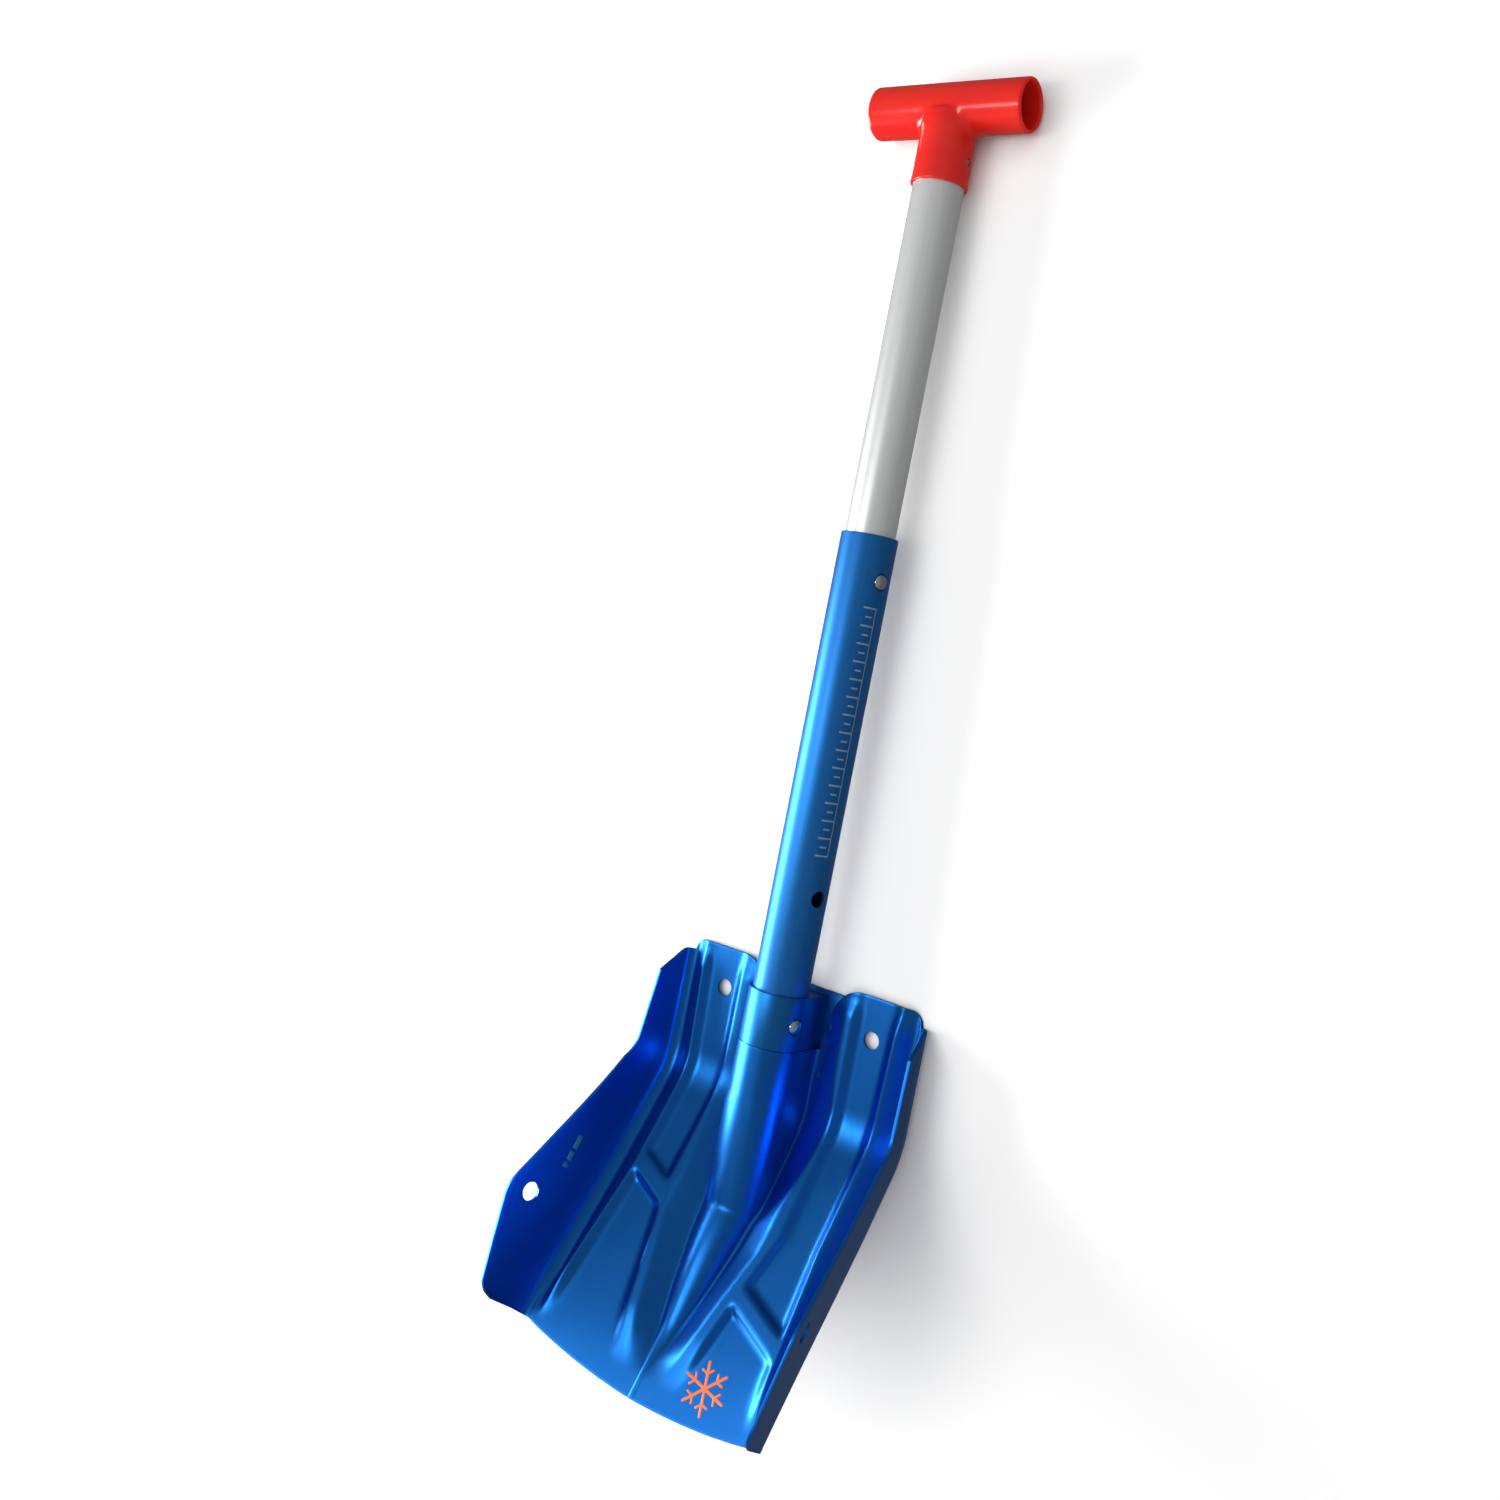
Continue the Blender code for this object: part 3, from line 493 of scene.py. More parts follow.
def tube_finish(name, color, darker, metallic, roughness):
    """Drawn and anodised tube: fine lines along it and an even satin. Also its colour socket."""
    material = make_material(name, color, metallic, roughness)
    lines = noise(material, 90.0, (14.0, 0.15, 14.0), 5.0)
    blotches = noise(material, 11.0)
    etch = noise(material, 2200.0, detail=2.0)
    tone = maths(material, "MULTIPLY", spread(material, lines, 0.0, 0.7),
                 spread(material, blotches, 0.5, 1.0))
    plain = mixed(material, tone, (*color, 1.0), (*darker, 1.0))
    link(material, plain, "Base Color")
    link(material, spread(material, lines, roughness - 0.04, roughness + 0.04), "Roughness")
    height = maths(material, "ADD", maths(material, "MULTIPLY", etch, 0.4),
                   maths(material, "MULTIPLY", lines, 0.6))
    add_bump(material, height, 0.015 * MM)
    return material, plain


def moulded(name, color, lighter, roughness, **settings):
    """Injection-moulded plastic with flow streaks and a faint orange-peel skin."""
    material = make_material(name, color, 0.0, roughness, **settings)
    flow = noise(material, 22.0, (1.0, 2.5, 1.0))
    skin = noise(material, 420.0, detail=2.0)
    link(material, mixed(material, spread(material, flow, 0.0, 0.6), (*color, 1.0),
                         (*lighter, 1.0)), "Base Color")
    link(material, spread(material, flow, roughness - 0.04, roughness + 0.05), "Roughness")
    add_bump(material, skin, 0.05 * MM, 0.6)
    return material


def steel(name, color, roughness):
    """Bare steel with fine scratches across it."""
    material = make_material(name, color, 1.0, roughness)
    scratches = noise(material, 500.0, (1.0, 6.0, 1.0), 4.0)
    link(material, spread(material, scratches, roughness - 0.06, roughness + 0.1), "Roughness")
    link(material, mixed(material, spread(material, scratches, 0.0, 0.5), (*color, 1.0),
                         (*[c * 0.72 for c in color], 1.0)), "Base Color")
    add_bump(material, scratches, 0.01 * MM)
    return material


blade_blue = anodised("blade_anodised", (0.016, 0.19, 0.66), (0.012, 0.15, 0.56), 0.36)
socket_blue = anodised("socket_anodised", (0.02, 0.2, 0.6), (0.015, 0.16, 0.5), 0.4)
rivet_blue = anodised("rivet_anodised", (0.012, 0.17, 0.6), (0.02, 0.14, 0.45), 0.34)
tube_blue, tube_plain = tube_finish("tube_anodised", (0.02, 0.19, 0.58), (0.015, 0.16, 0.5),
                                    0.85, 0.42)
add_tick_scale(tube_blue, tube_plain)
silver, _ = tube_finish("satin_aluminium", (0.66, 0.67, 0.67), (0.58, 0.59, 0.6), 0.6, 0.36)
button_steel = steel("polished_steel", (0.72, 0.73, 0.75), 0.14)
spring_steel = steel("spring_strip", (0.42, 0.42, 0.43), 0.3)
pin_steel = steel("pin_turned", (0.6, 0.6, 0.61), 0.28)
grip_red = moulded("grip_nylon", (0.56, 0.009, 0.008), (0.66, 0.025, 0.009), 0.2,
                   Subsurface_Weight=0.35, Subsurface_Radius=(1.0, 0.22, 0.08),
                   Subsurface_Scale=6.0 * MM, Specular_IOR_Level=0.5)
black = moulded("black_nylon", (0.012, 0.012, 0.013), (0.03, 0.03, 0.03), 0.5)
orange_ink = moulded("orange_print", (0.8, 0.16, 0.02), (0.7, 0.12, 0.015), 0.45)
teal_ink = moulded("teal_print", (0.01, 0.2, 0.3), (0.01, 0.16, 0.26), 0.45)


# ---------------------------------------------------------------- blade

def base_frame(v):
    """Point and front normal of the plate's middle line, v down from the top edge."""
    straight = BEND_V - BEND_RADIUS * BEND_ANGLE / 2.0
    turn = min(max((v - straight) / BEND_RADIUS, 0.0), BEND_ANGLE)
    y = TOP_EDGE_Y - min(v, straight) - BEND_RADIUS * math.sin(turn)
    z = -AXIS_ABOVE_PLATE + BEND_RADIUS * (1.0 - math.cos(turn))
    beyond = max(v - straight - BEND_RADIUS * BEND_ANGLE, 0.0)
    point = Vector((0.0, y - beyond * math.cos(turn), z + beyond * math.sin(turn)))
    return point, Vector((0.0, math.sin(turn), math.cos(turn)))


def relief(v):
    """How strongly the pressed pattern stands out: it fades before the cutting edge."""
    start, end = RELIEF_FADE_V
    return 1.0 - ease((v - start) / (end - start))


def valley_level(v):
    """Height of the grooves beside the channel: level with the plate at the socket."""
    return VALLEY * relief(v) * ease((v - VALLEY_START_V) / VALLEY_RUN)


def hump_size(v):
    """Half-width and height of the shaft channel, then of the ridge that follows it."""
    floor = valley_level(v)
    point, normal = base_frame(v)
    channel = (HUMP_RADIUS - point.z) / normal.z - floor
    start, end = RIDGE_FADE_V
    ridge_end = 1.0 - ease((v - start) / (end - start))
    height = max(channel, RIDGE_HEIGHT * ridge_end + LEAST_HUMP)
    if height >= HUMP_RADIUS:
        return HUMP_RADIUS, height
    width = math.sqrt(2.0 * HUMP_RADIUS * height - height * height)
    return width * piecewise(v, RIDGE_NARROWING), height


def rim_height(v):
    """Height of the side flange's rim above the plate."""
    height = RIM_HEIGHT + RIM_SLOPE * v
    for change, place, rounding in RIM_SLOPE_CHANGES:
        height += change * ramp(v - place, rounding)
    bottom = RIM_BOTTOM_ROUND
    over = min(v - (CORNER_V - bottom), bottom)
    if over > 0.0:
        height -= bottom - math.sqrt(bottom ** 2 - over ** 2)
    return height


def section_knots(v):
    """Corners (x, height, rounding) of the right half of the cross-section at v."""
    depth = relief(v)
    rise = ease((v - CREST_START_V) / CREST_RUN)
    crest = CREST * depth * (CREST_AT_TOP + (1.0 - CREST_AT_TOP) * rise)
    valley = valley_level(v)
    width, height = hump_size(v)
    knots = []
    if height > width:
        radius, last = width, math.pi / 2.0
    else:
        radius = (width ** 2 + height ** 2) / (2.0 * height)
        last = HUMP_ARC_SHARE * math.asin(min(width / radius, 1.0))
    for k in range(HUMP_STEPS + 1):
        angle = last * k / HUMP_STEPS
        x = radius * math.sin(angle)
        knots.append((x, valley + height - radius * (1.0 - math.cos(angle)), 2.5 * MM))
    slope_middle = piecewise(v, RIDGE_SLOPE_X)
    recess_in = piecewise(v, PANEL_INNER_X)
    recess_out = piecewise(v, PANEL_OUTER_X)
    narrow, wide = SLOPE_HALF
    start, end = SLOPE_WIDENING_V
    slope_half = narrow + (wide - narrow) * ease((v - start) / (end - start))
    slope_half = min(slope_half, (slope_middle - width) * 0.8)
    knots.append((width, valley, 3.0 * MM))
    knots.append((slope_middle - slope_half, valley, 2.5 * MM))
    knots.append((slope_middle + slope_half, crest, 2.5 * MM))
    knots.append((recess_in - 2.3 * MM, crest, 2.0 * MM))
    knots.append((recess_in + 2.8 * MM, 0.0, 2.0 * MM))
    knots.append((recess_out - 2.8 * MM, 0.0, 2.0 * MM))
    knots.append((recess_out + 2.3 * MM, crest, 2.0 * MM))
    knots.append((recess_out + 3.8 * MM, crest, 3.0 * MM))
    rim = rim_height(v)
    rim_x = FOLD_X + FLANGE_LEAN * rim
    fold_x = min(FOLD_HIGH[0], (FOLD_LOW[0] + rim_x) / 2.0)
    knots.append((GUTTER[0], GUTTER[1] * depth, 5.0 * MM))
    knots.append((*FOLD_LOW, 4.0 * MM))
    knots.append((fold_x, min(FOLD_HIGH[1], rim / 2.0), 5.0 * MM))
    knots.append((rim_x, rim, 0.0))
    return knots, crest


# Steps between one knot of the cross-section and the next.
KNOT_STEPS = [2, 2, 2, 2, 2, 2, 5, 5, 9, 6, 5, 12, 5, 3, 8, 6, 6, 16]
PANEL_KNOTS = range(10, 14)


def section_line(v):
    """Rounded cross-section at v as (x, height) points, and the crest height."""
    knots, crest = section_knots(v)
    directions = []
    lengths = []
    for (xa, na, _), (xb, nb, _) in zip(knots, knots[1:]):
        length = max(math.hypot(xb - xa, nb - na), 0.0001 * MM)
        lengths.append(length)
        directions.append(Vector(((xb - xa) / length, (nb - na) / length)))
    starts = [0.0]
    for length in lengths:
        starts.append(starts[-1] + length)
    lengths.append(0.0)
    places = [(i, k / n) for i, n in enumerate(KNOT_STEPS) for k in range(n)]
    places.append((len(KNOT_STEPS), 0.0))
    line = []
    for knot, share in places:
        u = starts[knot] + share * lengths[knot]
        point = Vector(knots[0][:2]) + directions[0] * u
        for i in range(1, len(directions)):
            rounding = min(knots[i][2], 0.45 * lengths[i - 1], 0.45 * lengths[i])
            point += (directions[i] - directions[i - 1]) * ramp(u - starts[i], rounding)
        line.append((point.x, point.y, knot))
    return line, crest


def rib_share(x, v):
    """1 on the slanted rib that crosses each recessed panel, 0 away from it."""
    rib_x, rib_v = LEFT_RIB if x < 0.0 else RIGHT_RIB
    middle = rib_v + RIB_SLOPE * (x - rib_x)
    return ease((RIB_HALF_WIDTH + RIB_EDGE - abs(v - middle)) / (2.0 * RIB_EDGE))


def top_edge(x):
    """Where the sheet starts at x: collar notch, rounded lobes, slanted end of the flange."""
    if x < NOTCH_HALF_WIDTH - 0.2 * MM:
        return HUMP_START_V
    wide, deep = LOBE_CORNER
    inward = min(max((NOTCH_HALF_WIDTH + wide - x) / wide, 0.0), 1.0)
    outward = min(max(x - FOLD_X + OUTER_CORNER, 0.0), OUTER_CORNER)
    outer_drop = OUTER_CORNER - math.sqrt(OUTER_CORNER ** 2 - outward ** 2)
    slant_x, slant_v = FLANGE_TOP_SLANT
    outer_drop += slant_v * min(max((x - FOLD_LOW[0]) / slant_x, 0.0), 1.0) ** 1.5
    return deep * (1.0 - math.sqrt(1.0 - inward ** 2)) + outer_drop


def tip_edge(x):
    """Where the sheet ends at x: the slightly bowed cutting edge."""
    return TIP_V - (TIP_V - CORNER_V) * min(x / FOLD_X, 1.0) ** 2


def row_place(row, x):
    """Rows follow the outline near both ends and run straight across in between."""
    if row < STRAIGHT_ROWS_START:
        start = top_edge(x)
        return start + row * (STRAIGHT_ROWS_START - start) / STRAIGHT_ROWS_START
    if row > STRAIGHT_ROWS_END:
        share = (row - STRAIGHT_ROWS_END) / (TIP_V - STRAIGHT_ROWS_END)
        return STRAIGHT_ROWS_END + share * (tip_edge(x) - STRAIGHT_ROWS_END)
    return row


ROW_COUNT = 150
LINE_STEP = 0.5 * MM


def blade_surface():
    """The front surface as a grid of points, rows from the top edge to the cutting edge."""
    lines = {}

    def line_at(v):
        key = round(v / LINE_STEP)
        if key not in lines:
            lines[key] = section_line(key * LINE_STEP)
        return lines[key]

    def blended(v, j):
        """Section point j at v, between two stored lines."""
        below = math.floor(v / LINE_STEP)
        share = v / LINE_STEP - below
        first, crest_a = line_at(below * LINE_STEP)
        second, crest_b = line_at((below + 1) * LINE_STEP)
        xa, na, knot = first[j]
        xb, nb, _ = second[j]
        return (xa + (xb - xa) * share, na + (nb - na) * share, knot,
                crest_a + (crest_b - crest_a) * share)

    top = [x for x, _, _ in section_line(TOP_OUTLINE_V)[0]]
    tip = [x for x, _, _ in section_line(TIP_OUTLINE_V)[0]]
    grid = []
    for i in range(ROW_COUNT + 1):
        row = TIP_V * i / ROW_COUNT
        line = []
        for j in range(len(top)):
            v = row_place(row, top[j] if row < STRAIGHT_ROWS_START else tip[j])
            x, height, knot, crest = blended(v, j)
            middle, normal = base_frame(v)
            start, end = DISH_V
            dish = DISH * min(x / FOLD_X, 1.0) ** 2 * ease((v - start) / (end - start))
            pair = []
            for side in (-1.0, 1.0):
                rise = height + dish
                if knot in PANEL_KNOTS:
                    rise += (crest - height) * rib_share(side * x, v)
                pair.append(middle + normal * rise + Vector((side * x, 0.0, 0.0)))
            line.append(pair)
        grid.append([pair[0] for pair in reversed(line[1:])] + [pair[1] for pair in line])
    return grid


def lashing_cutters():
    cutters = []
    for side in (1.0, -1.0):
        x, v, radius = UPPER_LASHING_HOLE
        point, normal = base_frame(v)
        place = Matrix.Translation(point + Vector((side * x, 0.0, 0.0)))
        cutters.append(rod_mesh(radius, -8 * MM, 8 * MM, place))
        height, v, radius = LOWER_LASHING_HOLE
        point, normal = base_frame(v)
        outward = Vector((side, 0.0, 0.0)) - normal * FLANGE_LEAN
        across = Vector((side * (FOLD_X + FLANGE_LEAN * height), 0.0, 0.0))
        place = Matrix.Translation(point + normal * height + across)
        turn = outward.to_track_quat("Z", "Y").to_matrix().to_4x4()
        cutters.append(rod_mesh(radius, -9 * MM, 9 * MM, place @ turn))
    return cutters


def rivet_cutters(start, low, high):
    """Rods for the holes of the rivets whose names start so."""
    return [rod_mesh(RIVET_RADIUS + RIVET_FIT, low, high, Matrix.Translation((x, y, 0.0)), 32)
            for name, (x, y) in RIVETS.items() if name.startswith(start)]


def make_blade():
    grid = blade_surface()
    model = bmesh.new()
    rows = [[model.verts.new(point) for point in line] for line in grid]
    for upper, lower in zip(rows, rows[1:]):
        for j in range(len(upper) - 1):
            model.faces.new((upper[j], lower[j], lower[j + 1], upper[j + 1]))
    mesh = bpy.data.meshes.new("blade_shell")
    model.to_mesh(mesh)
    model.free()
    blade = add_object("blade_shell", mesh)
    solidify = blade.modifiers.new("Sheet", "SOLIDIFY")
    solidify.thickness = SHEET
    solidify.offset = -1.0
    apply_modifiers(blade)
    bevel(blade, 0.6 * MM, 60.0)
    front = -AXIS_ABOVE_PLATE
    combine(blade, lashing_cutters() + rivet_cutters("blade", front - 6 * MM, front + 3 * MM))
    shade(blade, 35.0)
    return finish_piece(blade, "blade_assembly", "blade_blue", blade_blue, "blade")


blade_shell = make_blade()


# ---------------------------------------------------------------- socket

COLLAR_STEPS = 64


def make_collar():
    """D-shaped band round the shaft with a flat foot on the back plate."""
    foot = -AXIS_ABOVE_PLATE - SHEET
    outline = [(COLLAR_RADIUS, foot)]
    for k in range(COLLAR_STEPS + 1):
        angle = math.pi * k / COLLAR_STEPS
        outline.append((COLLAR_RADIUS * math.cos(angle), COLLAR_RADIUS * math.sin(angle)))
    outline.append((-COLLAR_RADIUS, foot))
    outline = [(x, -z) for x, z in outline]
    collar = add_object("collar_band", extruded_mesh("collar_band", outline, COLLAR_START,
                                                     COLLAR_END, UP_SHAFT))
    cutters = [rod_mesh(COLLAR_BORE, COLLAR_START - 5 * MM, COLLAR_END + 5 * MM, UP_SHAFT,
                        TUBE_STEPS),
               button_cutter(0.0)]
    combine(collar, cutters + rivet_cutters("collar", foot - 2 * MM, foot + 6 * MM))
    bevel(collar, 0.35 * MM, 60.0)
    shade(collar)
    finish_piece(collar, "blade_assembly", "socket_blue", socket_blue, "socket_collar")


def make_back_plate():
    top = -AXIS_ABOVE_PLATE - SHEET - GAP
    bottom = top - BACK_PLATE_THICKNESS
    corners = [(BACK_PLATE_HALF_WIDTH, BACK_PLATE_START), (BACK_PLATE_HALF_WIDTH, BACK_PLATE_END),
               (-BACK_PLATE_HALF_WIDTH, BACK_PLATE_END), (-BACK_PLATE_HALF_WIDTH, BACK_PLATE_START)]
    outline = rounded(corners, BACK_PLATE_CORNER_REACH, steps=12)
    plate = add_object("back_plate", extruded_mesh("back_plate", outline, bottom, top,
                                                   Matrix.Identity(4)))
    bevel(plate, 0.4 * MM, 60.0)
    for x, y in RIVETS.values():
        place = Matrix.Translation((x, y, 0.0))
        combine(plate, [turned_mesh("sink", rivet_profile(RIVET_FIT, top + 2 * MM, bottom),
                                    place, 32)])
    shade(plate)
    finish_piece(plate, "blade_assembly", "socket_blue", socket_blue, "socket_back_plate")


def rivet_profile(grow, front, back):
    """Shank with a countersunk head at the back, or the hole that it sits in."""
    shank = RIVET_RADIUS + grow
    return [(0.0, front), (shank, front), (shank, back + RIVET_HEAD_HEIGHT),
            (RIVET_HEAD_RADIUS + grow, back), (0.0, back)]


def make_rivets():
    back = -AXIS_ABOVE_PLATE - SHEET - GAP - BACK_PLATE_THICKNESS + RIVET_SINK
    for name, (x, y) in RIVETS.items():
        profile = rounded(rivet_profile(0.0, -AXIS_ABOVE_PLATE, back), 0.15 * MM, closed=False)
        rivet = add_object(name + "_turned", turned_mesh(name, profile,
                           Matrix.Translation((x, y, 0.0)), 48))
        shade(rivet)
        finish_piece(rivet, "blade_assembly", "rivets", rivet_blue, name)


make_collar()
make_back_plate()
make_rivets()


# ---------------------------------------------------------------- shaft

def make_tube(name, radius, bore, start, end, cutters):
    """A round tube with softened ends and the given holes."""
    profile = rounded([(radius, end), (radius, start), (bore, start), (bore, end)], TUBE_EDGE)
    tube = add_object(name, turned_mesh(name, profile, UP_SHAFT))
    combine(tube, cutters)
    shade(tube)
    return tube


def make_tubes():
    lower = make_tube("tube_lower", LOWER_TUBE_RADIUS, LOWER_TUBE_BORE, LOWER_TUBE_START,
                      LOWER_TUBE_END,
                      [button_cutter(y) for y in (0.0, UPPER_BUTTON_Y - TRAVEL, UPPER_BUTTON_Y)])
    finish_piece(lower, "lower_shaft_assembly", "tube_blue", tube_blue, "lower_shaft")
    upper = make_tube("tube_upper", UPPER_TUBE_RADIUS, UPPER_TUBE_BORE, UPPER_TUBE_START,
                      UPPER_TUBE_END, [button_cutter(UPPER_BUTTON_Y), pin_cutter()])
    finish_piece(upper, "upper_shaft_assembly", "satin_silver", silver, "upper_shaft")


def make_button(name, y, wall_radius, top, body):
    """Domed pin on a wide foot that stays behind the tube wall."""
    foot, edge = BUTTON_FOOT_RADIUS, BUTTON_EDGE
    foot_top = math.sqrt(wall_radius ** 2 - foot ** 2) - GAP
    foot_end = foot_top - BUTTON_FOOT_THICKNESS
    profile = [(0.0, top)]
    for k in range(1, DOME_STEPS + 1):
        angle = math.pi / 2.0 * k / DOME_STEPS
        profile.append((BUTTON_RADIUS * math.sin(angle),
                        top - BUTTON_DOME * (1.0 - math.cos(angle))))
    profile += [(BUTTON_RADIUS, foot_top + edge), (BUTTON_RADIUS + edge, foot_top),
                (foot - edge, foot_top), (foot, foot_top - edge), (foot, foot_end),
                (0.0, foot_end)]
    button = add_object(name + "_domed", turned_mesh(name, profile, at_button(y), 64))
    shade(button)
    finish_piece(button, body, "button_steel", button_steel, name)


make_tubes()
make_button("lock_button", 0.0, LOWER_TUBE_BORE, LOCK_BUTTON_TOP, "lock_button_body")
make_button("length_button", UPPER_BUTTON_Y, UPPER_TUBE_BORE, LENGTH_BUTTON_TOP,
            "length_button_body")


# ---------------------------------------------------------------- grip

FILLET_REACH = 9.0 * MM
VOXEL = 0.8 * MM
# How far the bore is widened at each distance past the crossbar's end.
GRIP_MOUTH = [(1.6 * MM, 2.0 * MM), (1.1 * MM, -0.2 * MM), (0.3 * MM, -0.9 * MM),
              (0.0, -2.2 * MM)]
STEM_LIP = (0.5 * MM, 5.0 * MM)
STEM_END = GRIP_Y - 4.0 * MM


def make_grip():
    """Crossbar and stem blended by a soft fillet, then bored through."""
    end = GRIP_HALF_LENGTH
    bar = rounded([(0.0, end), (GRIP_RADIUS, end), (GRIP_RADIUS, -end), (0.0, -end)],
                  1.3 * MM, closed=False, steps=6)
    crossbar = Matrix.Translation((0.0, GRIP_Y, 0.0)) @ ALONG_GRIP
    grip = add_object("grip_moulding", turned_mesh("grip_moulding", bar, crossbar, 96))
    lip, lip_height = STEM_LIP
    stem = rounded([(0.0, STEM_START), (STEM_RADIUS + lip, STEM_START),
                    (STEM_RADIUS, STEM_START + lip_height), (STEM_RADIUS, STEM_END),
                    (0.0, STEM_END)], 0.8 * MM, closed=False)
    combine(grip, [turned_mesh("stem", stem, UP_SHAFT, 96)], "UNION")
    remesh = grip.modifiers.new("Voxels", "REMESH")
    remesh.mode = "VOXEL"
    remesh.voxel_size = VOXEL
    apply_modifiers(grip)
    soften_joint(grip)
    mouth = [(GRIP_BORE + flare, end + outward) for flare, outward in GRIP_MOUTH]
    bore = [(radius, -height) for radius, height in mouth] + mouth[::-1]
    bore = [(0.0, bore[0][1]), *bore, (0.0, bore[-1][1])]
    combine(grip, [rod_mesh(STEM_BORE, STEM_START - 5 * MM, UPPER_TUBE_END + GAP, UP_SHAFT, 96),
                   pin_cutter(),
                   turned_mesh("bore", bore, crossbar, 96)])
    shade(grip, 45.0)
    finish_piece(grip, "upper_shaft_assembly", "grip_red", grip_red, "t_grip")


def soften_joint(grip):
    """Smooths the surface where the stem meets the crossbar."""
    group = grip.vertex_groups.new(name="joint")
    for vertex in grip.data.vertices:
        x, y, z = vertex.co
        from_bar = abs(math.hypot(y - GRIP_Y, z) - GRIP_RADIUS)
        from_stem = abs(math.hypot(x, z) - STEM_RADIUS)
        near = max(from_bar, from_stem)
        share = 1.0 - ease(near / FILLET_REACH)
        share *= 1.0 - ease((y - GRIP_Y + FILLET_REACH) / FILLET_REACH)
        group.add([vertex.index], share, "REPLACE")
    smooth = grip.modifiers.new("Fillet", "SMOOTH")
    smooth.factor = 0.5
    smooth.iterations = 60
    smooth.vertex_group = "joint"
    even = grip.modifiers.new("Even", "SMOOTH")
    even.factor = 0.5
    even.iterations = 4
    apply_modifiers(grip)
    grip.vertex_groups.clear()


def make_grip_pin():
    half = STEM_RADIUS - 0.4 * MM
    profile = rounded([(0.0, half), (GRIP_PIN_RADIUS, half), (GRIP_PIN_RADIUS, -half),
                       (0.0, -half)], 0.5 * MM, closed=False)
    pin = add_object("grip_pin_turned", turned_mesh("grip_pin", profile, AT_GRIP_PIN, 48))
    shade(pin)
    finish_piece(pin, "upper_shaft_assembly", "pin_steel", pin_steel, "grip_pin")


make_grip()
make_grip_pin()


# ---------------------------------------------------------------- printed marks

CRYSTAL_PLACE = (43.0 * MM, 256.0 * MM)
CRYSTAL_TURN = math.radians(12.0)
# One side of an arm as (distance along it, half-width), in millimetres.
CRYSTAL_HALF_ARM = [(1.56, 0.9), (8.2, 0.9), (10.3, 4.54), (11.5, 3.84), (9.8, 0.9),
                    (15.4, 0.9), (16.2, 0.0)]
INK = 0.06 * MM


def blade_tree():
    model = bmesh.new()
    model.from_mesh(blade_shell.data)
    tree = BVHTree.FromBMesh(model)
    model.free()
    return tree


BLADE_TREE = blade_tree()


def print_on_blade(name, outline, cast, material):
    """A thin film of ink whose outline points are cast on to the blade."""
    model = bmesh.new()
    face = model.faces.new([model.verts.new((a, b, 0.0)) for a, b in outline])
    face.normal_update()
    bmesh.ops.triangulate(model, faces=[face])
    bmesh.ops.subdivide_edges(model, edges=model.edges, cuts=3, use_grid_fill=True)
    for vertex in model.verts:
        origin, direction = cast(vertex.co.x, vertex.co.y)
        hit, _, _, _ = BLADE_TREE.ray_cast(origin, direction)
        vertex.co = hit - direction * INK
    film = add_object(name, mesh_of(model, name))
    solidify = film.modifiers.new("Ink", "SOLIDIFY")
    solidify.thickness = INK / 2.0
    solidify.offset = 0.0
    apply_modifiers(film)
    film.data.shade_smooth()
    finish_piece(film, "blade_assembly", "blade_blue", material)


def from_front(x, v):
    point, normal = base_frame(v)
    return point + normal * 60 * MM + Vector((x, 0.0, 0.0)), -normal


def make_crystal():
    """A plain six-armed snow crystal."""
    outline = []
    half = CRYSTAL_HALF_ARM
    arm = [(a, -b) for a, b in half] + [(a, b) for a, b in reversed(half[:-1])]
    for k in range(6):
        turn = math.radians(60.0) * k + CRYSTAL_TURN
        for a, b in arm[1:] if k else arm:
            outline.append((a * math.cos(turn) - b * math.sin(turn),
                            a * math.sin(turn) + b * math.cos(turn)))
    outline = outline[:-1]
    x, v = CRYSTAL_PLACE
    outline = [(x + a * MM, v + b * MM) for a, b in outline]
    print_on_blade("snow_crystal_print", outline, from_front, orange_ink)


# Where each bar starts along the flange and how long it is, in millimetres.
FLANGE_BARS = [(160.0, 9.0), (171.0, 6.0), (179.0, 3.0)]
BARS_LOW = 30.0 * MM
BARS_HIGH = 34.0 * MM


def make_flange_bars():
    """Three plain bars on the left flange."""

    def from_middle(v, height):
        point, normal = base_frame(v)
        return point + normal * height, Vector((-1.0, 0.0, 0.0))

    for k, (start, length) in enumerate(FLANGE_BARS):
        near, far = start * MM, (start + length) * MM
        outline = [(near, BARS_LOW), (far, BARS_LOW), (far, BARS_HIGH), (near, BARS_HIGH)]
        print_on_blade(f"flange_bar_{k}", outline, from_middle, teal_ink)


make_crystal()
make_flange_bars()


# ---------------------------------------------------------------- kept CAD nodes

for node, material in (("lock_button_spring", spring_steel), ("length_button_spring", spring_steel),
                       ("guide_bush", black), ("shaft_end_plug", black)):
    for place in frame["nodes"][node].material_slots:
        place.material = material


# ---------------------------------------------------------------- studio

FLOOR_DROP = 0.3 * MM
FLOOR_HALF = 6.0
SKY_HEIGHTS = (-0.1, 0.45)
SKY_STRENGTHS = (0.13, 0.26)


def make_floor():
    model = bmesh.new()
    bmesh.ops.create_grid(model, x_segments=4, y_segments=4, size=FLOOR_HALF)
    floor = add_object("floor", mesh_of(model, "floor"))
    floor.location = (0.0, 0.0, -FLOOR_DROP)
    material = make_material("pale_floor", (0.86, 0.86, 0.86), 0.0, 0.7)
    floor.data.materials.append(material)
    floor.visible_glossy = False


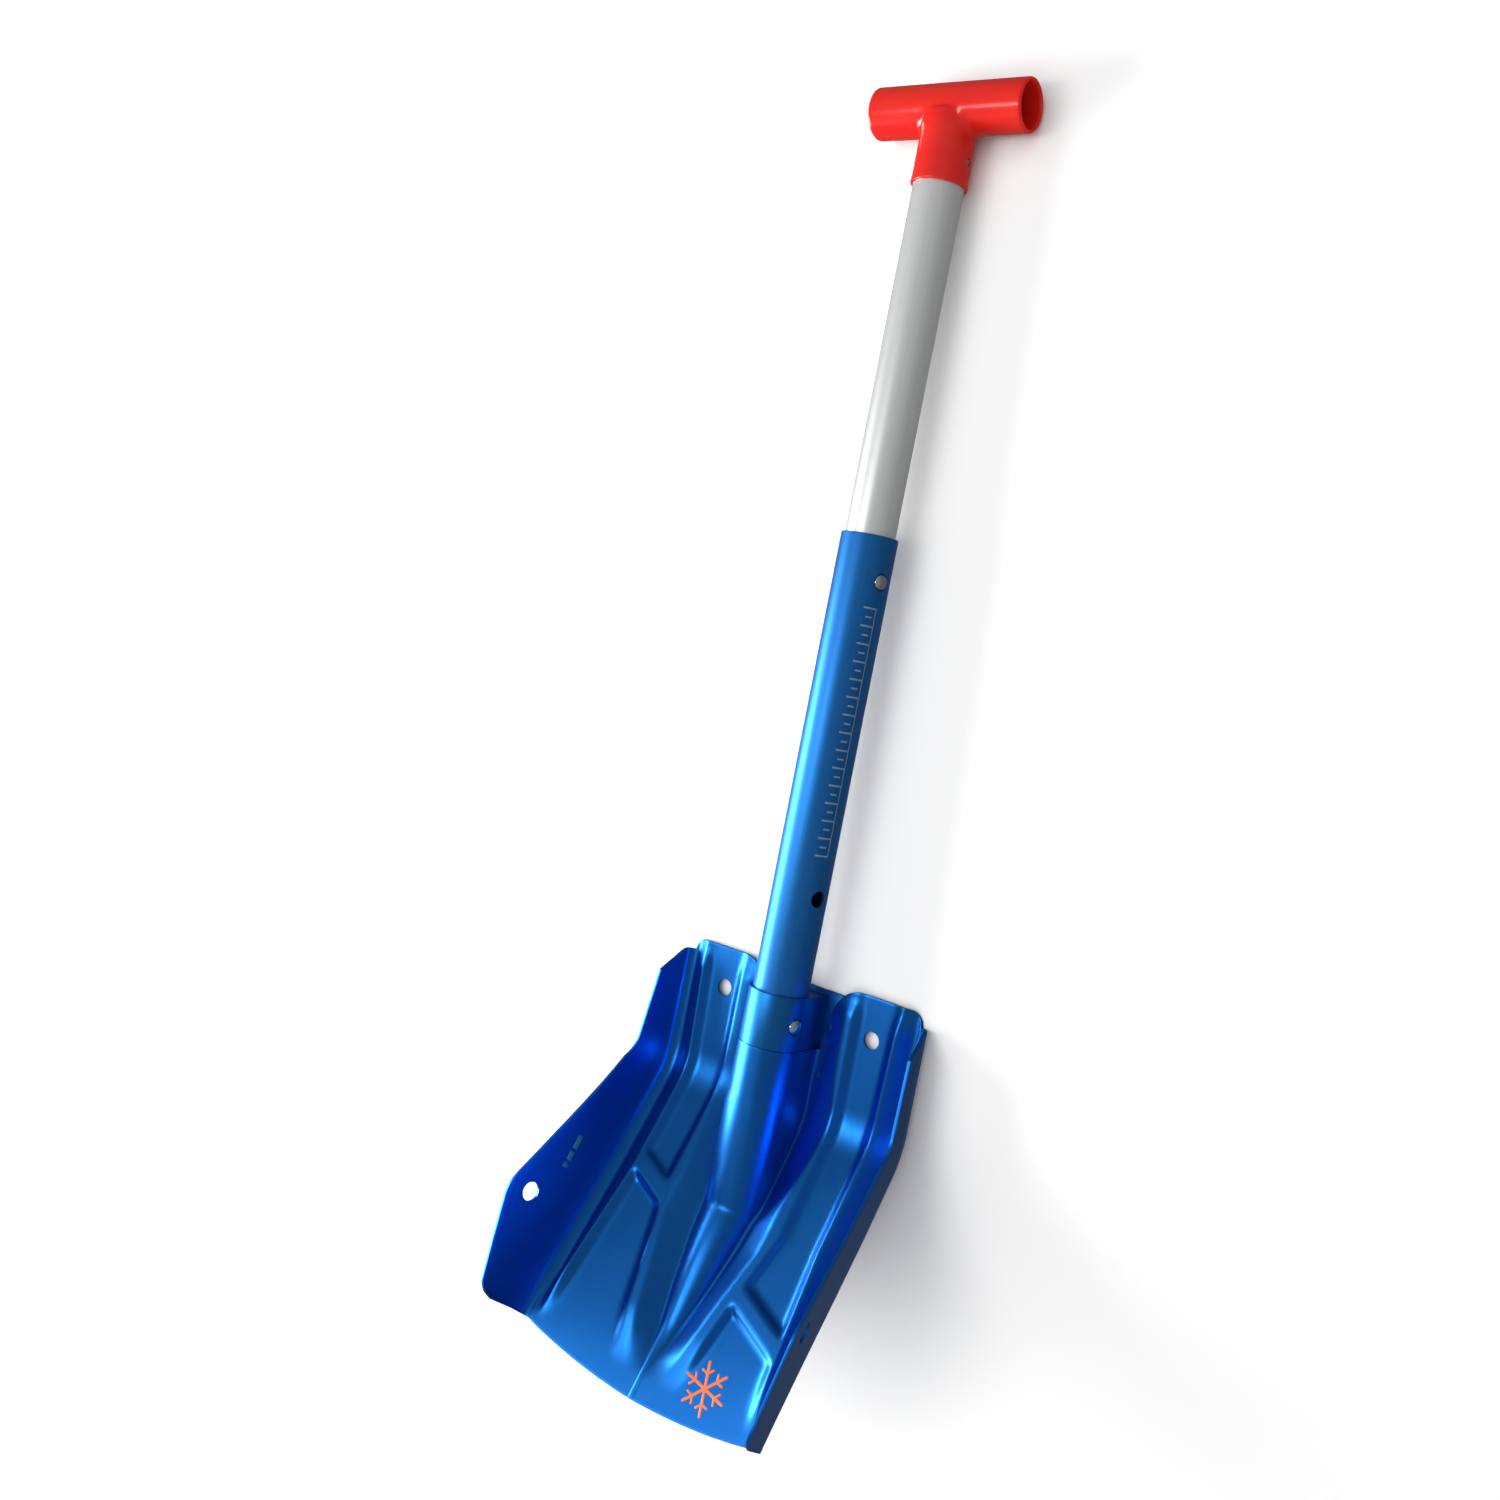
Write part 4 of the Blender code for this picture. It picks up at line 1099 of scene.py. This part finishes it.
def add_light(name, place, target, size, energy):
    """A white rectangular lamp in metres and watts."""
    data = bpy.data.lights.new(name, "AREA")
    data.shape = "RECTANGLE"
    data.size, data.size_y = size
    data.energy = energy
    light = bpy.data.objects.new(name, data)
    bpy.context.scene.collection.objects.link(light)
    light.location = place
    light.rotation_euler = (Vector(target) - Vector(place)).to_track_quat("-Z", "Y").to_euler()
    return light


def make_world():
    """A grey sky that gets darker towards the ground."""
    world = bpy.data.worlds.new("studio")
    world.use_nodes = True
    tree = world.node_tree
    background = tree.nodes["Background"]
    background.inputs["Color"].default_value = (1.0, 1.0, 1.0, 1.0)
    direction = tree.nodes.new("ShaderNodeTexCoord")
    split = tree.nodes.new("ShaderNodeSeparateXYZ")
    level = tree.nodes.new("ShaderNodeMapRange")
    level.inputs["From Min"].default_value, level.inputs["From Max"].default_value = SKY_HEIGHTS
    level.inputs["To Min"].default_value, level.inputs["To Max"].default_value = SKY_STRENGTHS
    tree.links.new(direction.outputs["Generated"], split.inputs[0])
    tree.links.new(split.outputs[2], level.inputs["Value"])
    tree.links.new(level.outputs[0], background.inputs["Strength"])
    bpy.context.scene.world = world


CAMERA_PLACE = Vector((0.4791, 0.2258, 0.7669))
CAMERA_AZIMUTH = math.radians(35.0)
CAMERA_ELEVATION = math.radians(4.0)
CAMERA_ROLL = math.radians(10.93)


def make_camera():
    """The photograph's view: from the blade's right, with the shaft leaning right."""
    back = Vector((math.sin(CAMERA_AZIMUTH) * math.cos(CAMERA_ELEVATION),
                   math.sin(CAMERA_ELEVATION),
                   math.cos(CAMERA_AZIMUTH) * math.cos(CAMERA_ELEVATION)))
    up = Vector((0.0, 1.0, 0.0))
    up = (up - back * up.dot(back)).normalized()
    right = up.cross(back)
    turn = Matrix((right, up, back)).transposed() @ Matrix.Rotation(CAMERA_ROLL, 3, "Z")
    data = bpy.data.cameras.new("camera")
    data.lens = 35.0
    data.sensor_width = 36.0
    camera = bpy.data.objects.new("camera", data)
    bpy.context.scene.collection.objects.link(camera)
    camera.matrix_world = SHAFT @ Matrix.Translation(CAMERA_PLACE) @ turn.to_4x4()
    bpy.context.scene.camera = camera


make_floor()
bpy.context.scene.view_settings.view_transform = "Standard"
make_world()
add_light("overhead", (-0.45, 0.0, 1.6), (0.0, 0.0, 0.0), (0.3, 0.8), 6.0)
add_light("low_left", (-1.45, -0.42, 0.55), (0.0, -0.3, 0.05), (1.1, 0.6), 44.0)
wash = add_light("floor_wash", (0.0, 0.0, 3.2), (0.0, 0.0, 0.0), (6.0, 6.0), 140.0)
wash.visible_glossy = False
make_camera()

bpy.context.view_layer.update()
